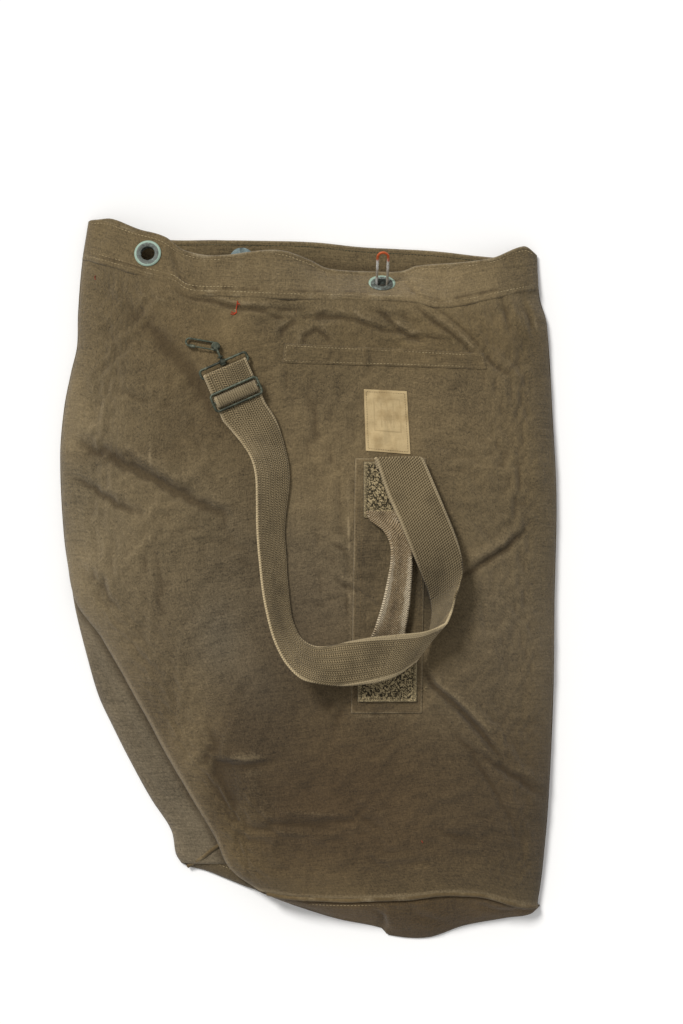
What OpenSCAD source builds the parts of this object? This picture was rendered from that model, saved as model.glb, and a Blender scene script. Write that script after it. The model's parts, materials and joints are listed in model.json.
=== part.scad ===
// Canvas duffel bag, empty, lying on its back with the mouth towards +Y.
// Z is up, the floor is z = 0, and the origin is the middle of the footprint. Millimetres.

/* [Canvas] */
// Thickness of one layer of duck canvas
canvas_t = 1.6; // [1.2:0.1:2.0]
// Thickness of the folded hem round the mouth
hem_t = 3.2; // [2.6:0.1:3.6]
// Depth of the hem, from the rim to its lower stitching
hem_depth = 43; // [38:1:48]
// Radius of the welt where the bottom is sewn in
welt_r = 2; // [1.5:0.1:2.4]

/* [Webbing] */
// Width of the shoulder strap
strap_w = 44.5; // [42:0.5:45]
// Thickness of the webbing
web_t = 2.2; // [1.8:0.1:2.4]
// Width of the handle webbing where it is sewn down
pad_w = 57; // [50:1:60]

/* [Eyelets] */
// Radius of the hole through an eyelet
eyelet_hole_r = 7.2; // [6:0.1:7.4]
// Outer radius of an eyelet
eyelet_r = 13.4; // [12:0.1:14]
// Length of the locking staple outside the eyelet
staple_len = 36; // [30:1:38]
// Distance between the staple's legs
staple_gap = 10.5; // [9:0.1:10.8]

/* [Strap hardware] */
// Radius of the wire of the loop and the adjuster
wire_r = 1.3; // [1:0.05:1.35]
// Length of the snap hook from its coil to its tip
hook_len = 31; // [28:1:36]

/* [Hidden] */

gap = 0.3;                 // clearance between layers that lie on each other
run = 0.15;                // running clearance round a wire that turns
$fn = 48;

canvas_colour = "#71634a";
web_colour = "#77694f";
metal_colour = "#4c5547";
eyelet_colour = "#a9bfb4";

// ---- outlines, each a list of [position, value] knots ----
LEFT_X = [[-318, -42], [-292, -78], [-258, -95], [-196, -131], [-142, -161], [-60, -207],
          [-20, -235], [42, -246], [123, -250], [173, -246], [209, -239], [235, -233],
          [268, -232], [318, -228], [362, -221]];
RIGHT_X = [[-328, 231], [-293, 236], [-221, 242], [-110, 247], [-20, 248], [80, 250],
           [166, 246], [259, 240], [284, 233], [327, 230]];
SEAM_Y = [[-45, -313], [-20, -316], [31, -318], [99, -316], [140, -312], [175, -314],
          [209, -324], [231, -328]];
HEM_Y = [[-228, 323], [-201, 315], [-158, 302], [-135, 296], [-119, 286], [-80, 284],
         [-9, 281], [53, 280], [105, 278], [128, 273], [152, 275], [205, 287], [230, 293]];
RIM_Y = [[-222, 361], [-205, 361], [-175, 350], [-147, 342], [-127, 329], [-96, 323],
         [-32, 329], [0, 320], [20, 311], [62, 309], [94, 309], [109, 314], [152, 317],
         [187, 322], [218, 334], [231, 327]];
BACK_RIM_Y = [[-222, 358], [-147, 342], [-91, 341], [3, 339], [53, 334], [125, 330],
              [194, 323], [230, 325]];
FLOOR_Y = [[-45, -317], [-13, -329], [29, -342], [76, -353], [120, -361], [157, -349],
           [201, -341], [225, -337], [236, -326]];
CREST_Z = [[-328, 34], [-200, 42], [0, 46], [150, 45], [285, 42]];
RIM_Z = [[-222, 28], [-160, 33], [-60, 31], [20, 20], [74, 11], [128, 20], [180, 28], [231, 24]];
OUTER_LEFT = [[-118, -290], [-128, -286], [-133, -278], [-138, -253], [-158, -222],
              [-182, -178], [-197, -148], [-211, -118], [-223, -77], [-234, -33], [-238, -10]];

// ---- smooth curves through knots ----
function knot(k, x, i = 0) = (i >= len(k) - 2 || x < k[i + 1][0]) ? i : knot(k, x, i + 1);
function knot_slope(k, i) =
    let (a = max(i - 1, 0), b = min(i + 1, len(k) - 1)) (k[b][1] - k[a][1]) / (k[b][0] - k[a][0]);
function curve(k, x) =
    let (i = knot(k, x), h = k[i + 1][0] - k[i][0], t = min(max((x - k[i][0]) / h, 0), 1))
    (2 * t^3 - 3 * t^2 + 1) * k[i][1] + (t^3 - 2 * t^2 + t) * h * knot_slope(k, i)
    + (3 * t^2 - 2 * t^3) * k[i + 1][1] + (t^3 - t^2) * h * knot_slope(k, i + 1);
function ease(t) = let (c = min(max(t, 0), 1)) c * c * (3 - 2 * c);
function ramp(t, a = 0.2) =    // a straight slope with eased ends
    t < a ? t * t / (2 * a * (1 - a)) :
    t > 1 - a ? 1 - (1 - t) * (1 - t) / (2 * a * (1 - a)) : (t - a / 2) / (1 - a);
function mix(a, b, t) = a + (b - a) * t;

// ---- the front of the bag as a height over the floor ----
left_foot_rise = 9;        // the front rests on the tuck at the lower left
tuck_end_y = -45;          // the tuck ends here; the front comes down to the floor above it
function foot_z(x, y) = canvas_t + (x < 0 ? left_foot_rise * ease((tuck_end_y + 60 - y) / 55) : 0);
function across(x, y) =
    let (l = curve(LEFT_X, y), r = curve(RIGHT_X, y)) min(max((2 * x - l - r) / (r - l), -1), 1);
function crest(x, y) =
    let (t = (y - curve(HEM_Y, x)) / (curve(RIM_Y, x) - curve(HEM_Y, x)))
    mix(curve(CREST_Z, min(y, 285)), curve(RIM_Z, x), ramp(min(max(t, 0), 1)));
function front_z(x, y) =
    let (foot = foot_z(x, y)) foot + (crest(x, y) - foot) * sqrt(max(1 - across(x, y)^4, 0));
function on_front(x, y) = [x, y, front_z(x, y)];

// ---- grids of points, turned into closed sheets ----
function row_between(low, high, u, v) =    // a point of the front between two cross curves
    let (y0 = mix(curve(low, 90), curve(high, 90), v),
         x0 = mix(curve(LEFT_X, y0), curve(RIGHT_X, y0), u),
         y = mix(curve(low, x0), curve(high, x0), v),
         x = mix(curve(LEFT_X, y), curve(RIGHT_X, y), u))
    on_front(x, y);
function front_grid(low, high, cols, rows) =
    [for (j = [0:rows]) [for (i = [0:cols])
        row_between(low, high, (1 - cos(180 * i / cols)) / 2, j / rows)]];
function quad_grid(c, cols, rows) =    // corners c: lower left, lower right, upper right, upper left
    [for (j = [0:rows]) [for (i = [0:cols])
        let (p = mix(mix(c[0], c[1], i / cols), mix(c[3], c[2], i / cols), j / rows))
        on_front(p[0], p[1])]];
function unit(v) = v / norm(v);
function grid_normal(g, j, i) =
    let (a = g[j][max(i - 1, 0)], b = g[j][min(i + 1, len(g[0]) - 1)],
         c = g[max(j - 1, 0)][i], d = g[min(j + 1, len(g) - 1)][i])
    unit(cross(b - a, d - c));

module sheet(g, low, high, floor_z = -1000) {
    m = len(g) - 1;
    n = len(g[0]) - 1;
    k = (m + 1) * (n + 1);
    normals = [for (j = [0:m]) [for (i = [0:n]) grid_normal(g, j, i)]];
    function lifted(p) = [p[0], p[1], max(p[2], floor_z)];
    function at(j, i, under) = j * (n + 1) + i + (under ? k : 0);
    points = concat([for (j = [0:m], i = [0:n]) lifted(g[j][i] + normals[j][i] * high)],
                    [for (j = [0:m], i = [0:n]) lifted(g[j][i] + normals[j][i] * low)]);
    faces = concat(
        [for (j = [0:m - 1], i = [0:n - 1]) [at(j, i, false), at(j + 1, i + 1, false), at(j, i + 1, false)]],
        [for (j = [0:m - 1], i = [0:n - 1]) [at(j, i, false), at(j + 1, i, false), at(j + 1, i + 1, false)]],
        [for (j = [0:m - 1], i = [0:n - 1]) [at(j, i, true), at(j, i + 1, true), at(j + 1, i + 1, true)]],
        [for (j = [0:m - 1], i = [0:n - 1]) [at(j, i, true), at(j + 1, i + 1, true), at(j + 1, i, true)]],
        [for (i = [0:n - 1]) [at(0, i, false), at(0, i + 1, false), at(0, i + 1, true)]],
        [for (i = [0:n - 1]) [at(0, i, false), at(0, i + 1, true), at(0, i, true)]],
        [for (i = [0:n - 1]) [at(m, i + 1, false), at(m, i, false), at(m, i, true)]],
        [for (i = [0:n - 1]) [at(m, i + 1, false), at(m, i, true), at(m, i + 1, true)]],
        [for (j = [0:m - 1]) [at(j + 1, 0, false), at(j, 0, false), at(j, 0, true)]],
        [for (j = [0:m - 1]) [at(j + 1, 0, false), at(j, 0, true), at(j + 1, 0, true)]],
        [for (j = [0:m - 1]) [at(j, n, false), at(j + 1, n, false), at(j + 1, n, true)]],
        [for (j = [0:m - 1]) [at(j, n, false), at(j + 1, n, true), at(j, n, true)]]);
    polyhedron(points, faces, convexity = 10);
}

module tube(path, r, sides = 8) {    // a round rope along a path that runs mostly along X
    m = len(path) - 1;
    function ring(j) =
        let (t = unit(path[min(j + 1, m)] - path[max(j - 1, 0)]),
             a = unit(cross([0, 0, 1], t)), b = cross(t, a))
        [for (i = [0:sides - 1]) path[j] + r * (a * cos(360 * i / sides) + b * sin(360 * i / sides))];
    points = [for (j = [0:m]) each ring(j)];
    faces = concat([[for (i = [0:sides - 1]) i]], [[for (i = [sides - 1:-1:0]) m * sides + i]],
        [for (j = [0:m - 1], i = [0:sides - 1])
            [j * sides + i, (j + 1) * sides + i, (j + 1) * sides + (i + 1) % sides, j * sides + (i + 1) % sides]]);
    polyhedron(points, faces, convexity = 10);
}

// ---- placing a part on the surface, its own +Z along the outward normal ----
function surface_frame(x, y) =
    let (d = 5, n = unit(cross(on_front(x + d, y) - on_front(x - d, y), on_front(x, y + d) - on_front(x, y - d))),
         a = unit(cross([0, 1, 0], n)), b = cross(n, a), p = on_front(x, y))
    [[a[0], b[0], n[0], p[0]], [a[1], b[1], n[1], p[1]], [a[2], b[2], n[2], p[2]], [0, 0, 0, 1]];

hem_proud = (hem_t - canvas_t) / 2;    // the hem stands this much outside the canvas
hem_hole_r = eyelet_hole_r + 1.3;      // the hole cut in the hem for an eyelet's barrel
front_eyelets = [[-160, 326], [74, 296.5]];
back_eyelets = [[-67, 322], [152, 307]];

// ---- canvas ----
module canvas_front() {
    below_hem = [for (k = HEM_Y) [k[0], k[1] - 2]];
    color(canvas_colour) sheet(front_grid(SEAM_Y, below_hem, 26, 22), -canvas_t, 0, canvas_t);
}

module back_outline() {
    step = 12;
    polygon(concat(
        OUTER_LEFT,
        [for (y = [10:20:350]) [curve(LEFT_X, y), y]],
        [for (x = [-220:step:224]) [x, curve(BACK_RIM_Y, x)]],
        [for (y = [320:-20:-320]) [curve(RIGHT_X, y), y]],
        [for (x = [225:-step:-40]) [x, curve(FLOOR_Y, x)]],
        [[-60, -310], [-82, -302], [-105, -293]]));
}

eyelet_clear_r = eyelet_r + 0.4;
module canvas_back() {
    color(canvas_colour) difference() {
        linear_extrude(canvas_t) back_outline();
        for (p = back_eyelets) translate([p[0], p[1], -1]) cylinder(r = eyelet_clear_r, h = canvas_t + 2);
    }
}

tuck_h = 8;
module canvas_side_tuck() {
    under_front = 14;      // how far the tuck reaches in under the front
    color(canvas_colour) translate([0, 0, canvas_t]) linear_extrude(tuck_h) polygon(concat(
        [for (p = OUTER_LEFT) if (p[1] < tuck_end_y) [p[0] + 0.5, p[1]]],
        [for (y = [tuck_end_y - 5:-20:-250]) [curve(LEFT_X, y) + under_front, y]],
        [[-84, -266]]));
}

module canvas_bottom() {
    rows = 5;
    seam_drop = 2 * welt_r + 2 * gap;
    wing = [[-115.5, -290.6], [-86, -270], [-66, -283], [-52, -306], [-62, -308.5], [-82, -301], [-104, -292]];
    grid = [for (j = [0:rows]) [for (x = [-36:9:225])
        let (y0 = curve(SEAM_Y, x) - seam_drop, y1 = curve(FLOOR_Y, x) + 1, z0 = front_z(x, y0 + seam_drop) - 2 * welt_r,
             t = j / rows)
        [x, mix(y0, y1, t), mix(z0, canvas_t, t * t * 0.5 + t * 0.5)]]];
    color(canvas_colour) {
        sheet(grid, 0, canvas_t, canvas_t);
        translate([0, 0, canvas_t]) linear_extrude(tuck_h - 1) polygon(wing);
    }
}

module bottom_seam_welt() {
    path = [for (x = [-38:12:226]) [x, curve(SEAM_Y, x) - welt_r - gap, front_z(x, curve(SEAM_Y, x)) - welt_r]];
    color(canvas_colour) tube(path, welt_r);
}

// ---- hems and eyelets ----
module hem_front() {
    color(canvas_colour) difference() {
        sheet(front_grid(HEM_Y, RIM_Y, 36, 5), hem_proud - hem_t, hem_proud, canvas_t);
        for (p = front_eyelets) multmatrix(surface_frame(p[0], p[1]))
            union() {      // the cloth is pressed flat between the flange and the washer
                press = 9;
                translate([0, 0, -press]) cylinder(r = hem_hole_r, h = 2 * press);
                translate([0, 0, hem_proud + 0.1]) cylinder(r = eyelet_clear_r, h = press);
                translate([0, 0, hem_proud - hem_t - 0.1 - press]) cylinder(r = eyelet_clear_r, h = press);
            }
    }
}

module hem_back() {
    inset = 11;            // keeps the band clear of the folds at both ends
    step = 12;
    color(canvas_colour) difference() {
        translate([0, 0, canvas_t]) linear_extrude(hem_t) polygon(concat(
            [for (x = [-222 + inset:step:220]) [x, curve(BACK_RIM_Y, x)]],
            [for (x = [220:-step:-222 + inset]) [x, curve(BACK_RIM_Y, x) - hem_depth]]));
        for (p = back_eyelets) translate([p[0], p[1], -1]) cylinder(r = hem_hole_r, h = canvas_t + hem_t + 2);
    }
}

flange_t = 1.4;
washer_t = 0.9;
roll_t = 0.9;
barrel_t = 1;
seat = 0.2;                // clearance between an eyelet's metal and the cloth
roll_w = 1.8;              // how far the rolled end stands out from the barrel
eyelet_under = hem_t + 2 * seat + washer_t + roll_t;    // from the outer face of the hem to the rolled end
module eyelet() {          // origin on the hem's outer face, +Z outwards
    color(eyelet_colour) rotate_extrude() polygon([
        [eyelet_hole_r, -eyelet_under], [eyelet_hole_r + barrel_t + roll_w, -eyelet_under],
        [eyelet_hole_r + barrel_t + roll_w, -eyelet_under + roll_t], [eyelet_hole_r + barrel_t, -eyelet_under + roll_t],
        [eyelet_hole_r + barrel_t, seat], [eyelet_r, seat], [eyelet_r, 0.8], [eyelet_r - 1.2, seat + flange_t],
        [eyelet_hole_r + 2.2, seat + flange_t], [eyelet_hole_r, 1]]);
}
module washer() {
    color(eyelet_colour) translate([0, 0, -hem_t - seat - washer_t]) difference() {
        cylinder(r = eyelet_r - 0.8, h = washer_t);
        translate([0, 0, -1]) cylinder(r = eyelet_hole_r + barrel_t + run, h = washer_t + 2);
    }
}
module at_front_eyelet(i) {
    multmatrix(surface_frame(front_eyelets[i][0], front_eyelets[i][1])) translate([0, 0, hem_proud]) children();
}
module at_back_eyelet(i) {
    translate([back_eyelets[i][0], back_eyelets[i][1], canvas_t]) rotate([180, 0, 0]) children();
}

staple_bend_r = staple_gap / 2;
staple_back = eyelet_under + seat;      // the plate lies behind the eyelet's rolled end
staple_plate_t = 1.2;
module locking_staple() {
    leg = staple_len - staple_bend_r + staple_back + staple_plate_t;
    color("#9c9a90") at_front_eyelet(1) translate([0, 0, -staple_back - staple_plate_t]) {
        for (s = [-1, 1]) translate([s * staple_bend_r, 0, 0]) cylinder(r = wire_r, h = leg);
        translate([0, 0, leg]) rotate([90, 0, 0]) rotate_extrude(angle = 180)
            translate([staple_bend_r, 0]) circle(r = wire_r);
    }
}
module staple_plate() {
    color(metal_colour) at_front_eyelet(1) translate([0, 0, -staple_back - staple_plate_t]) difference() {
        cylinder(r = eyelet_r - 1.6, h = staple_plate_t);
        for (s = [-1, 1]) translate([s * staple_bend_r, 0, -1]) cylinder(r = wire_r + 0.05, h = staple_plate_t + 2);
    }
}

// ---- pieces sewn on the front ----
strip_t = 1.2;             // one turned layer, pressed thin
label_t = 0.9;
tack_r = 0.7;              // of the red sewing thread, twisted double
module upper_strip() {
    color(canvas_colour) sheet(quad_grid([[-24, 217], [177, 211], [175, 226], [-22, 235]], 14, 2), gap, gap + strip_t);
}
backing_top = gap + canvas_t;
module handle_backing() {
    color(canvas_colour)
        sheet(quad_grid([[41, -132], [113, -132], [118, 122], [47, 122]], 6, 14), gap, backing_top);
}
module owner_label() {
    color("#bda87c") sheet(quad_grid([[59, 128], [102, 125], [98, 188], [57, 190]], 4, 5), gap, gap + label_t);
}
module red_tack() {
    top = [-71, 276];
    stroke = 7;
    hook = 6;
    color("#b5431f") translate(on_front(top[0], top[1])) translate([0, 0, tack_r + seat]) {
        rotate([90, 0, 0]) cylinder(r = tack_r, h = stroke, $fn = 24);
        translate([0, -stroke, 0]) rotate([0, -90, 20]) cylinder(r = tack_r, h = hook, $fn = 24);
    }
}

// ---- carry handle ----
module pad(x, y_low, y_high) {
    sheet(quad_grid([[x, y_low], [x + pad_w, y_low], [x + pad_w, y_high], [x, y_high]], 5, 4),
          backing_top + gap, backing_top + gap + web_t);
}
module handle_top_pad() { color(web_colour) pad(56.5, 63, 117); }
module handle_bottom_pad() { color(web_colour) pad(50.5, -120, -66); }

// stations of the grip: [x, y, z] of its middle, half its width, and its roll about the run
GRIP = [[83, 58, 52.9, 4.5, 0], [89, 44, 55.5, 8, 8], [93, 22, 58, 12, 14], [93, -2, 59, 12.5, 16],
        [89, -24, 58, 12, 14], [84, -46, 55.5, 8, 8], [79, -62, 52.9, 4.5, 0]];
grip_t = 5;
function station(s, t) =               // cubic through a list of number lists
    let (n = len(s) - 1, i = min(floor(t), n - 1), f = t - i,
         a = s[max(i - 1, 0)], b = s[i], c = s[i + 1], d = s[min(i + 2, n)])
    b + f * 0.5 * (c - a) + f * f * (a - 2.5 * b + 2 * c - 0.5 * d) + f * f * f * 0.5 * (3 * b - a - 3 * c + d);
module handle_grip() {
    steps = 3;
    n = (len(GRIP) - 1) * steps;
    grid = [for (j = [0:n]) let (s = station(GRIP, j / steps))
        [for (side = [-1, 0, 1]) [s[0] + side * s[3] * cos(s[4]), s[1], s[2] - side * s[3] * sin(s[4])]]];
    color(web_colour) sheet(grid, -grip_t / 2, grip_t / 2);
}

// ---- shoulder strap: rulings across the webbing, [one edge x y z, other edge x y z] ----
UPPER = [[69, 118, 50.8, 114, 121, 50.8], [80, 85, 55, 124, 98, 53], [93, 56, 61.5, 136, 69, 57],
         [106, 24, 63, 147.5, 39, 61.5], [116, 0, 59, 152.5, 14, 67], [122, -19, 53, 150, -2, 72],
         [123, -38, 51.5, 146, -14, 74], [118, -60, 52, 142, -29, 74], [110.5, -73, 55.5, 138.5, -37, 75]];
LOWER = [[105, -80.5, 60.5, 132.5, -43, 79.5], [98, -86, 66, 126, -46, 81.5], [86, -94, 69, 112, -50.5, 81],
         [70, -99, 69, 89, -53, 79], [54, -101.5, 67, 64, -56, 74], [35, -103, 66, 43, -60, 67],
         [14, -101, 73, 24, -65, 56], [-5, -96, 79, 9, -66, 49.5], [-19, -83, 83, -4, -60.5, 48.5],
         [-30, -64, 85, -12, -50, 48.5], [-38, -39, 86, -17.5, -34, 48.5], [-44, -9, 85, -20.5, -8, 48.5],
         [-47.5, 24, 84, -22.5, 24, 48.5], [-49.5, 52, 83, -24, 52, 48.5], [-50, 80, 81, -21.5, 77, 48.5],
         [-51, 104, 77, -19, 98, 48.5], [-55.5, 121, 72, -20.5, 119, 48.5], [-64, 135, 64, -25.5, 140, 48.8],
         [-74.5, 148, 55, -32.5, 160, 49.8]];
module ribbon(stations, steps) {
    n = (len(stations) - 1) * steps;
    grid = [for (j = [0:n]) let (s = station(stations, j / steps), a = [s[0], s[1], s[2]], b = [s[3], s[4], s[5]])
        [a, (a + b) / 2, b]];
    color(web_colour) sheet(grid, -web_t / 2, web_t / 2);
}
module strap_upper() { ribbon(UPPER, 3); }

// ---- strap end: a frame at the bar that the webbing is folded round ----
strap_angle = 23.6;                    // of the bars, from +X
bar_at = [-81.4, 209.2, 50.1];         // middle of that bar
fold_in_r = wire_r + run;
fold_out_r = fold_in_r + web_t;
fold_len = 46;                         // length of the doubled webbing
module at_bar() { translate(bar_at) rotate([0, 0, strap_angle]) children(); }    // own +Y towards the hook
function bar_point(p) =
    bar_at + [p[0] * cos(strap_angle) - p[1] * sin(strap_angle), p[0] * sin(strap_angle) + p[1] * cos(strap_angle), p[2]];
web_mid = fold_in_r + web_t / 2;
fold_gap = 0.2;                        // between the long run and the doubled end
lower_end = [for (side = [-1, 1]) each bar_point([side * strap_w / 2, -fold_len - fold_gap, web_mid])];

module strap_lower() { ribbon(concat(LOWER, [lower_end]), 3); }

module strap_end_fold() {
    color(web_colour) at_bar() translate([-strap_w / 2, 0, 0]) rotate([90, 0, 90]) linear_extrude(strap_w) union() {
        difference() {
            circle(r = fold_out_r);
            circle(r = fold_in_r);
            translate([-2 * fold_out_r, -2 * fold_out_r]) square([2 * fold_out_r, 4 * fold_out_r]);
        }
        translate([-fold_len, fold_in_r]) square([fold_len, web_t]);
        translate([-fold_len, -fold_out_r]) square([fold_len, web_t]);
    }
}

// a closed rectangle of round wire in its own XY plane, measured along the wire's centre line
module wire_rectangle(w, d, corner) {
    for (s = [-1, 1]) {
        translate([-w / 2 + corner, s * d / 2, 0]) rotate([0, 90, 0]) cylinder(r = wire_r, h = w - 2 * corner);
        translate([s * w / 2, -d / 2 + corner, 0]) rotate([-90, 0, 0]) cylinder(r = wire_r, h = d - 2 * corner);
    }
    for (c = [[1, 1, 0], [-1, 1, 90], [-1, -1, 180], [1, -1, 270]])
        translate([c[0] * (w / 2 - corner), c[1] * (d / 2 - corner), 0]) rotate([0, 0, c[2]])
            rotate_extrude(angle = 90) translate([corner, 0]) circle(r = wire_r);
}

adjuster_from_bar = 26.7;
adjuster_w = 49.6;
adjuster_d = 17.6;
adjuster_corner = 3.4;
adjuster_bar_r = 1.1;
frame_z = fold_out_r + gap + wire_r;
module at_adjuster() { at_bar() translate([0, -adjuster_from_bar, frame_z]) children(); }
module adjuster_frame() { color(metal_colour) at_adjuster() wire_rectangle(adjuster_w, adjuster_d, adjuster_corner); }
module adjuster_bar() {
    color(metal_colour) at_adjuster() translate([-adjuster_w / 2 + wire_r, 0, 0]) rotate([0, 90, 0])
        cylinder(r = adjuster_bar_r, h = adjuster_w - 2 * wire_r);
}
module adjuster_web() {                // the webbing arched over the centre bar
    half = 6.2;
    rise = 4.4;
    low = -wire_r + 0.1;
    arch = [for (a = [0:12:180]) [half * cos(a), low + rise * sin(a)]];
    inside = [for (a = [180:-20:0]) [(half - web_t) * cos(a), low + (rise - web_t + 0.3) * sin(a)]];
    color(web_colour) at_adjuster() translate([-strap_w / 2 + 1, 0, 0]) rotate([90, 0, 90])
        linear_extrude(strap_w - 2) polygon(concat(arch, inside));
}

loop_w = 50;
loop_d = 9;
loop_corner = 3;
collar_r = 3.4;
collar_half = 2;                       // of the collar's length; it starts at the loop's wire
post_r = 1.2;
module strap_loop() {
    color(metal_colour) at_bar() difference() {
        union() {
            translate([0, loop_d / 2, 0]) wire_rectangle(loop_w, loop_d, loop_corner);
            translate([0, loop_d + collar_half, 0]) rotate([90, 0, 0]) cylinder(r = collar_r, h = 2 * collar_half);
        }
        translate([0, loop_d + 2 * collar_half + 1, 0]) rotate([90, 0, 0])
            cylinder(r = post_r + run, h = 2 * collar_half + wire_r + 3.3);
    }
}

// ---- snap hook, lying under the flat end of its swivel ----
hook_angle = 170;                      // which way the hook points, from +X
pin_from_bar = loop_d + 16.5;          // the pin that the hook turns on
body_r = 1;                            // of the hook's wire
gate_coil_r = 0.9;
gate_r = 0.8;
coil_r = 3.6;                          // also of the hook's tip
pin_r = coil_r - body_r - 0.1;
pin_past = 0.6;                        // how far the pin reaches past the middle of the hook's wire
boss_r = 3.2;
boss_half = 1.4;
disc_in = [3.1, 1.7];                  // radius and thickness of the swivel's inner disc
disc_out = [2.9, 1.35];                // and of its outer disc
sleeve_r = 1.7;                        // of the sleeve on the hook's nose
nose_len = 6;
gate_z = -boss_half - gap - 0.1 - gate_coil_r;
body_z = gate_z - gate_coil_r - gap - body_r;
nose_x = hook_len - coil_r - 1;
module at_hook() {                     // own origin at the middle of the coil, +X towards the tip
    translate(bar_point([0, pin_from_bar, 0])) rotate([0, 0, hook_angle]) mirror([0, 1, 0]) children();
}
module along_post(y_end, r, h) {       // a cylinder round the swivel's axis that ends at y_end
    translate([0, y_end, 0]) rotate([90, 0, 0]) cylinder(r = r, h = h);
}
module swivel_post() {
    color(metal_colour) at_bar() union() {
        along_post(loop_d - collar_half - run, disc_in[0], disc_in[1]);
        along_post(pin_from_bar - 1, post_r, pin_from_bar - loop_d + collar_half);
        along_post(loop_d + 2 * collar_half + run + disc_out[1], disc_out[0], disc_out[1]);
        translate([0, pin_from_bar, -boss_half]) cylinder(r = boss_r, h = 2 * boss_half);
        translate([0, pin_from_bar, body_z - pin_past]) cylinder(r = pin_r, h = pin_past + 0.4 - boss_half - body_z);
    }
}
module hook_body() {
    color(metal_colour) at_hook() translate([0, 0, body_z]) {
        rotate([0, 0, 90]) rotate_extrude(angle = 290) translate([coil_r, 0]) circle(r = body_r);
        translate([0, coil_r, 0]) rotate([0, 90, 0]) cylinder(r = body_r, h = nose_x);
        translate([nose_x, 0, 0]) rotate([0, 0, -90]) rotate_extrude(angle = 180)
            translate([coil_r, 0]) circle(r = body_r);
        translate([nose_x - nose_len, -coil_r, 0]) rotate([0, 90, 0]) cylinder(r = body_r, h = nose_len);
        translate([nose_x - nose_len - 0.5, -coil_r, 0]) rotate([0, 90, 0]) cylinder(r = sleeve_r, h = nose_len);
    }
}
gate_len = nose_x - nose_len - 1.2;
module hook_gate() {
    color(metal_colour) at_hook() translate([0, 0, gate_z]) {
        rotate([0, 0, -20]) rotate_extrude(angle = 290) translate([coil_r, 0]) circle(r = gate_coil_r);
        translate([0, -coil_r, 0]) rotate([0, 90, 0]) cylinder(r = gate_r, h = gate_len);
    }
}

// ---- what is drawn ----
canvas_front();
canvas_back();
canvas_side_tuck();
canvas_bottom();
bottom_seam_welt();
hem_front();
hem_back();
upper_strip();
handle_backing();
owner_label();
red_tack();
at_front_eyelet(0) eyelet();  // eyelet_front_left
at_front_eyelet(1) eyelet();  // eyelet_front_staple
at_back_eyelet(0) eyelet();  // eyelet_back_left
at_back_eyelet(1) eyelet();  // eyelet_back_right
at_front_eyelet(0) washer();  // washer_front_left
at_front_eyelet(1) washer();  // washer_front_staple
at_back_eyelet(0) washer();  // washer_back_left
at_back_eyelet(1) washer();  // washer_back_right
locking_staple();
staple_plate();
handle_top_pad();
handle_bottom_pad();
handle_grip();
strap_upper();
strap_lower();
strap_end_fold();
adjuster_frame();
adjuster_bar();
adjuster_web();
strap_loop();
swivel_post();
hook_body();
hook_gate();
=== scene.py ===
"""Looks of an empty canvas duffel bag that lies flat on its back, mouth towards +Y.

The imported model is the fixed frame: rigid metal keeps its solids and gets a finish, and every soft
solid is replaced by a detailed piece that lies in the same place. Shapes are worked out in
millimetres and turned into metres when a mesh is made.
"""
import json
import logging
import math
from dataclasses import dataclass
from enum import Enum
from typing import Callable, Iterable, Sequence

import bpy
import numpy as np
from mathutils import Matrix, Vector, noise
from mathutils.bvhtree import BVHTree

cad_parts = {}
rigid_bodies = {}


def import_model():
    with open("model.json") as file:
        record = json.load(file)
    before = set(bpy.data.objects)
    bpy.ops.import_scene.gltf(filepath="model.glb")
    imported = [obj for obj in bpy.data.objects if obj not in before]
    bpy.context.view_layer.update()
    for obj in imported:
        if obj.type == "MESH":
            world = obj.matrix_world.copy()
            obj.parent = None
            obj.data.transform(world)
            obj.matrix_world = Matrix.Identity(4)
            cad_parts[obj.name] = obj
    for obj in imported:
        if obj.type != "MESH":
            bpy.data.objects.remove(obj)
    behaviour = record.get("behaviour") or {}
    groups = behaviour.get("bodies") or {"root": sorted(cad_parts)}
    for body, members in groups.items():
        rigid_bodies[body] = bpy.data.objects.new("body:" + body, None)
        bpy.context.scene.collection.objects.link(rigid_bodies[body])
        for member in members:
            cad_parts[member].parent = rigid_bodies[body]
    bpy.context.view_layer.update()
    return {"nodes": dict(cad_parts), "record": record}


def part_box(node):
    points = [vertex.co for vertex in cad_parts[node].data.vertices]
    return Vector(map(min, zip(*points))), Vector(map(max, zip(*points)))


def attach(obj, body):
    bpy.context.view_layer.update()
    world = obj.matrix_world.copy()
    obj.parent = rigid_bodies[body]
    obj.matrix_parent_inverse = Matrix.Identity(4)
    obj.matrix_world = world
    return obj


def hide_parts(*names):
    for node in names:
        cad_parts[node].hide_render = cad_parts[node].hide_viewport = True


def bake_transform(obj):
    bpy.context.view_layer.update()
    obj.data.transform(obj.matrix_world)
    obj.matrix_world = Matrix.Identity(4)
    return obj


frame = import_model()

MM = 0.001
Array = np.ndarray
Piece = bpy.types.Object
Material = bpy.types.Material
Socket = bpy.types.NodeSocket
Knots = Sequence[tuple[float, float]]
log = logging.getLogger("duffel")


# ---------------------------------------------------------------- curves and grids of points

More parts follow.
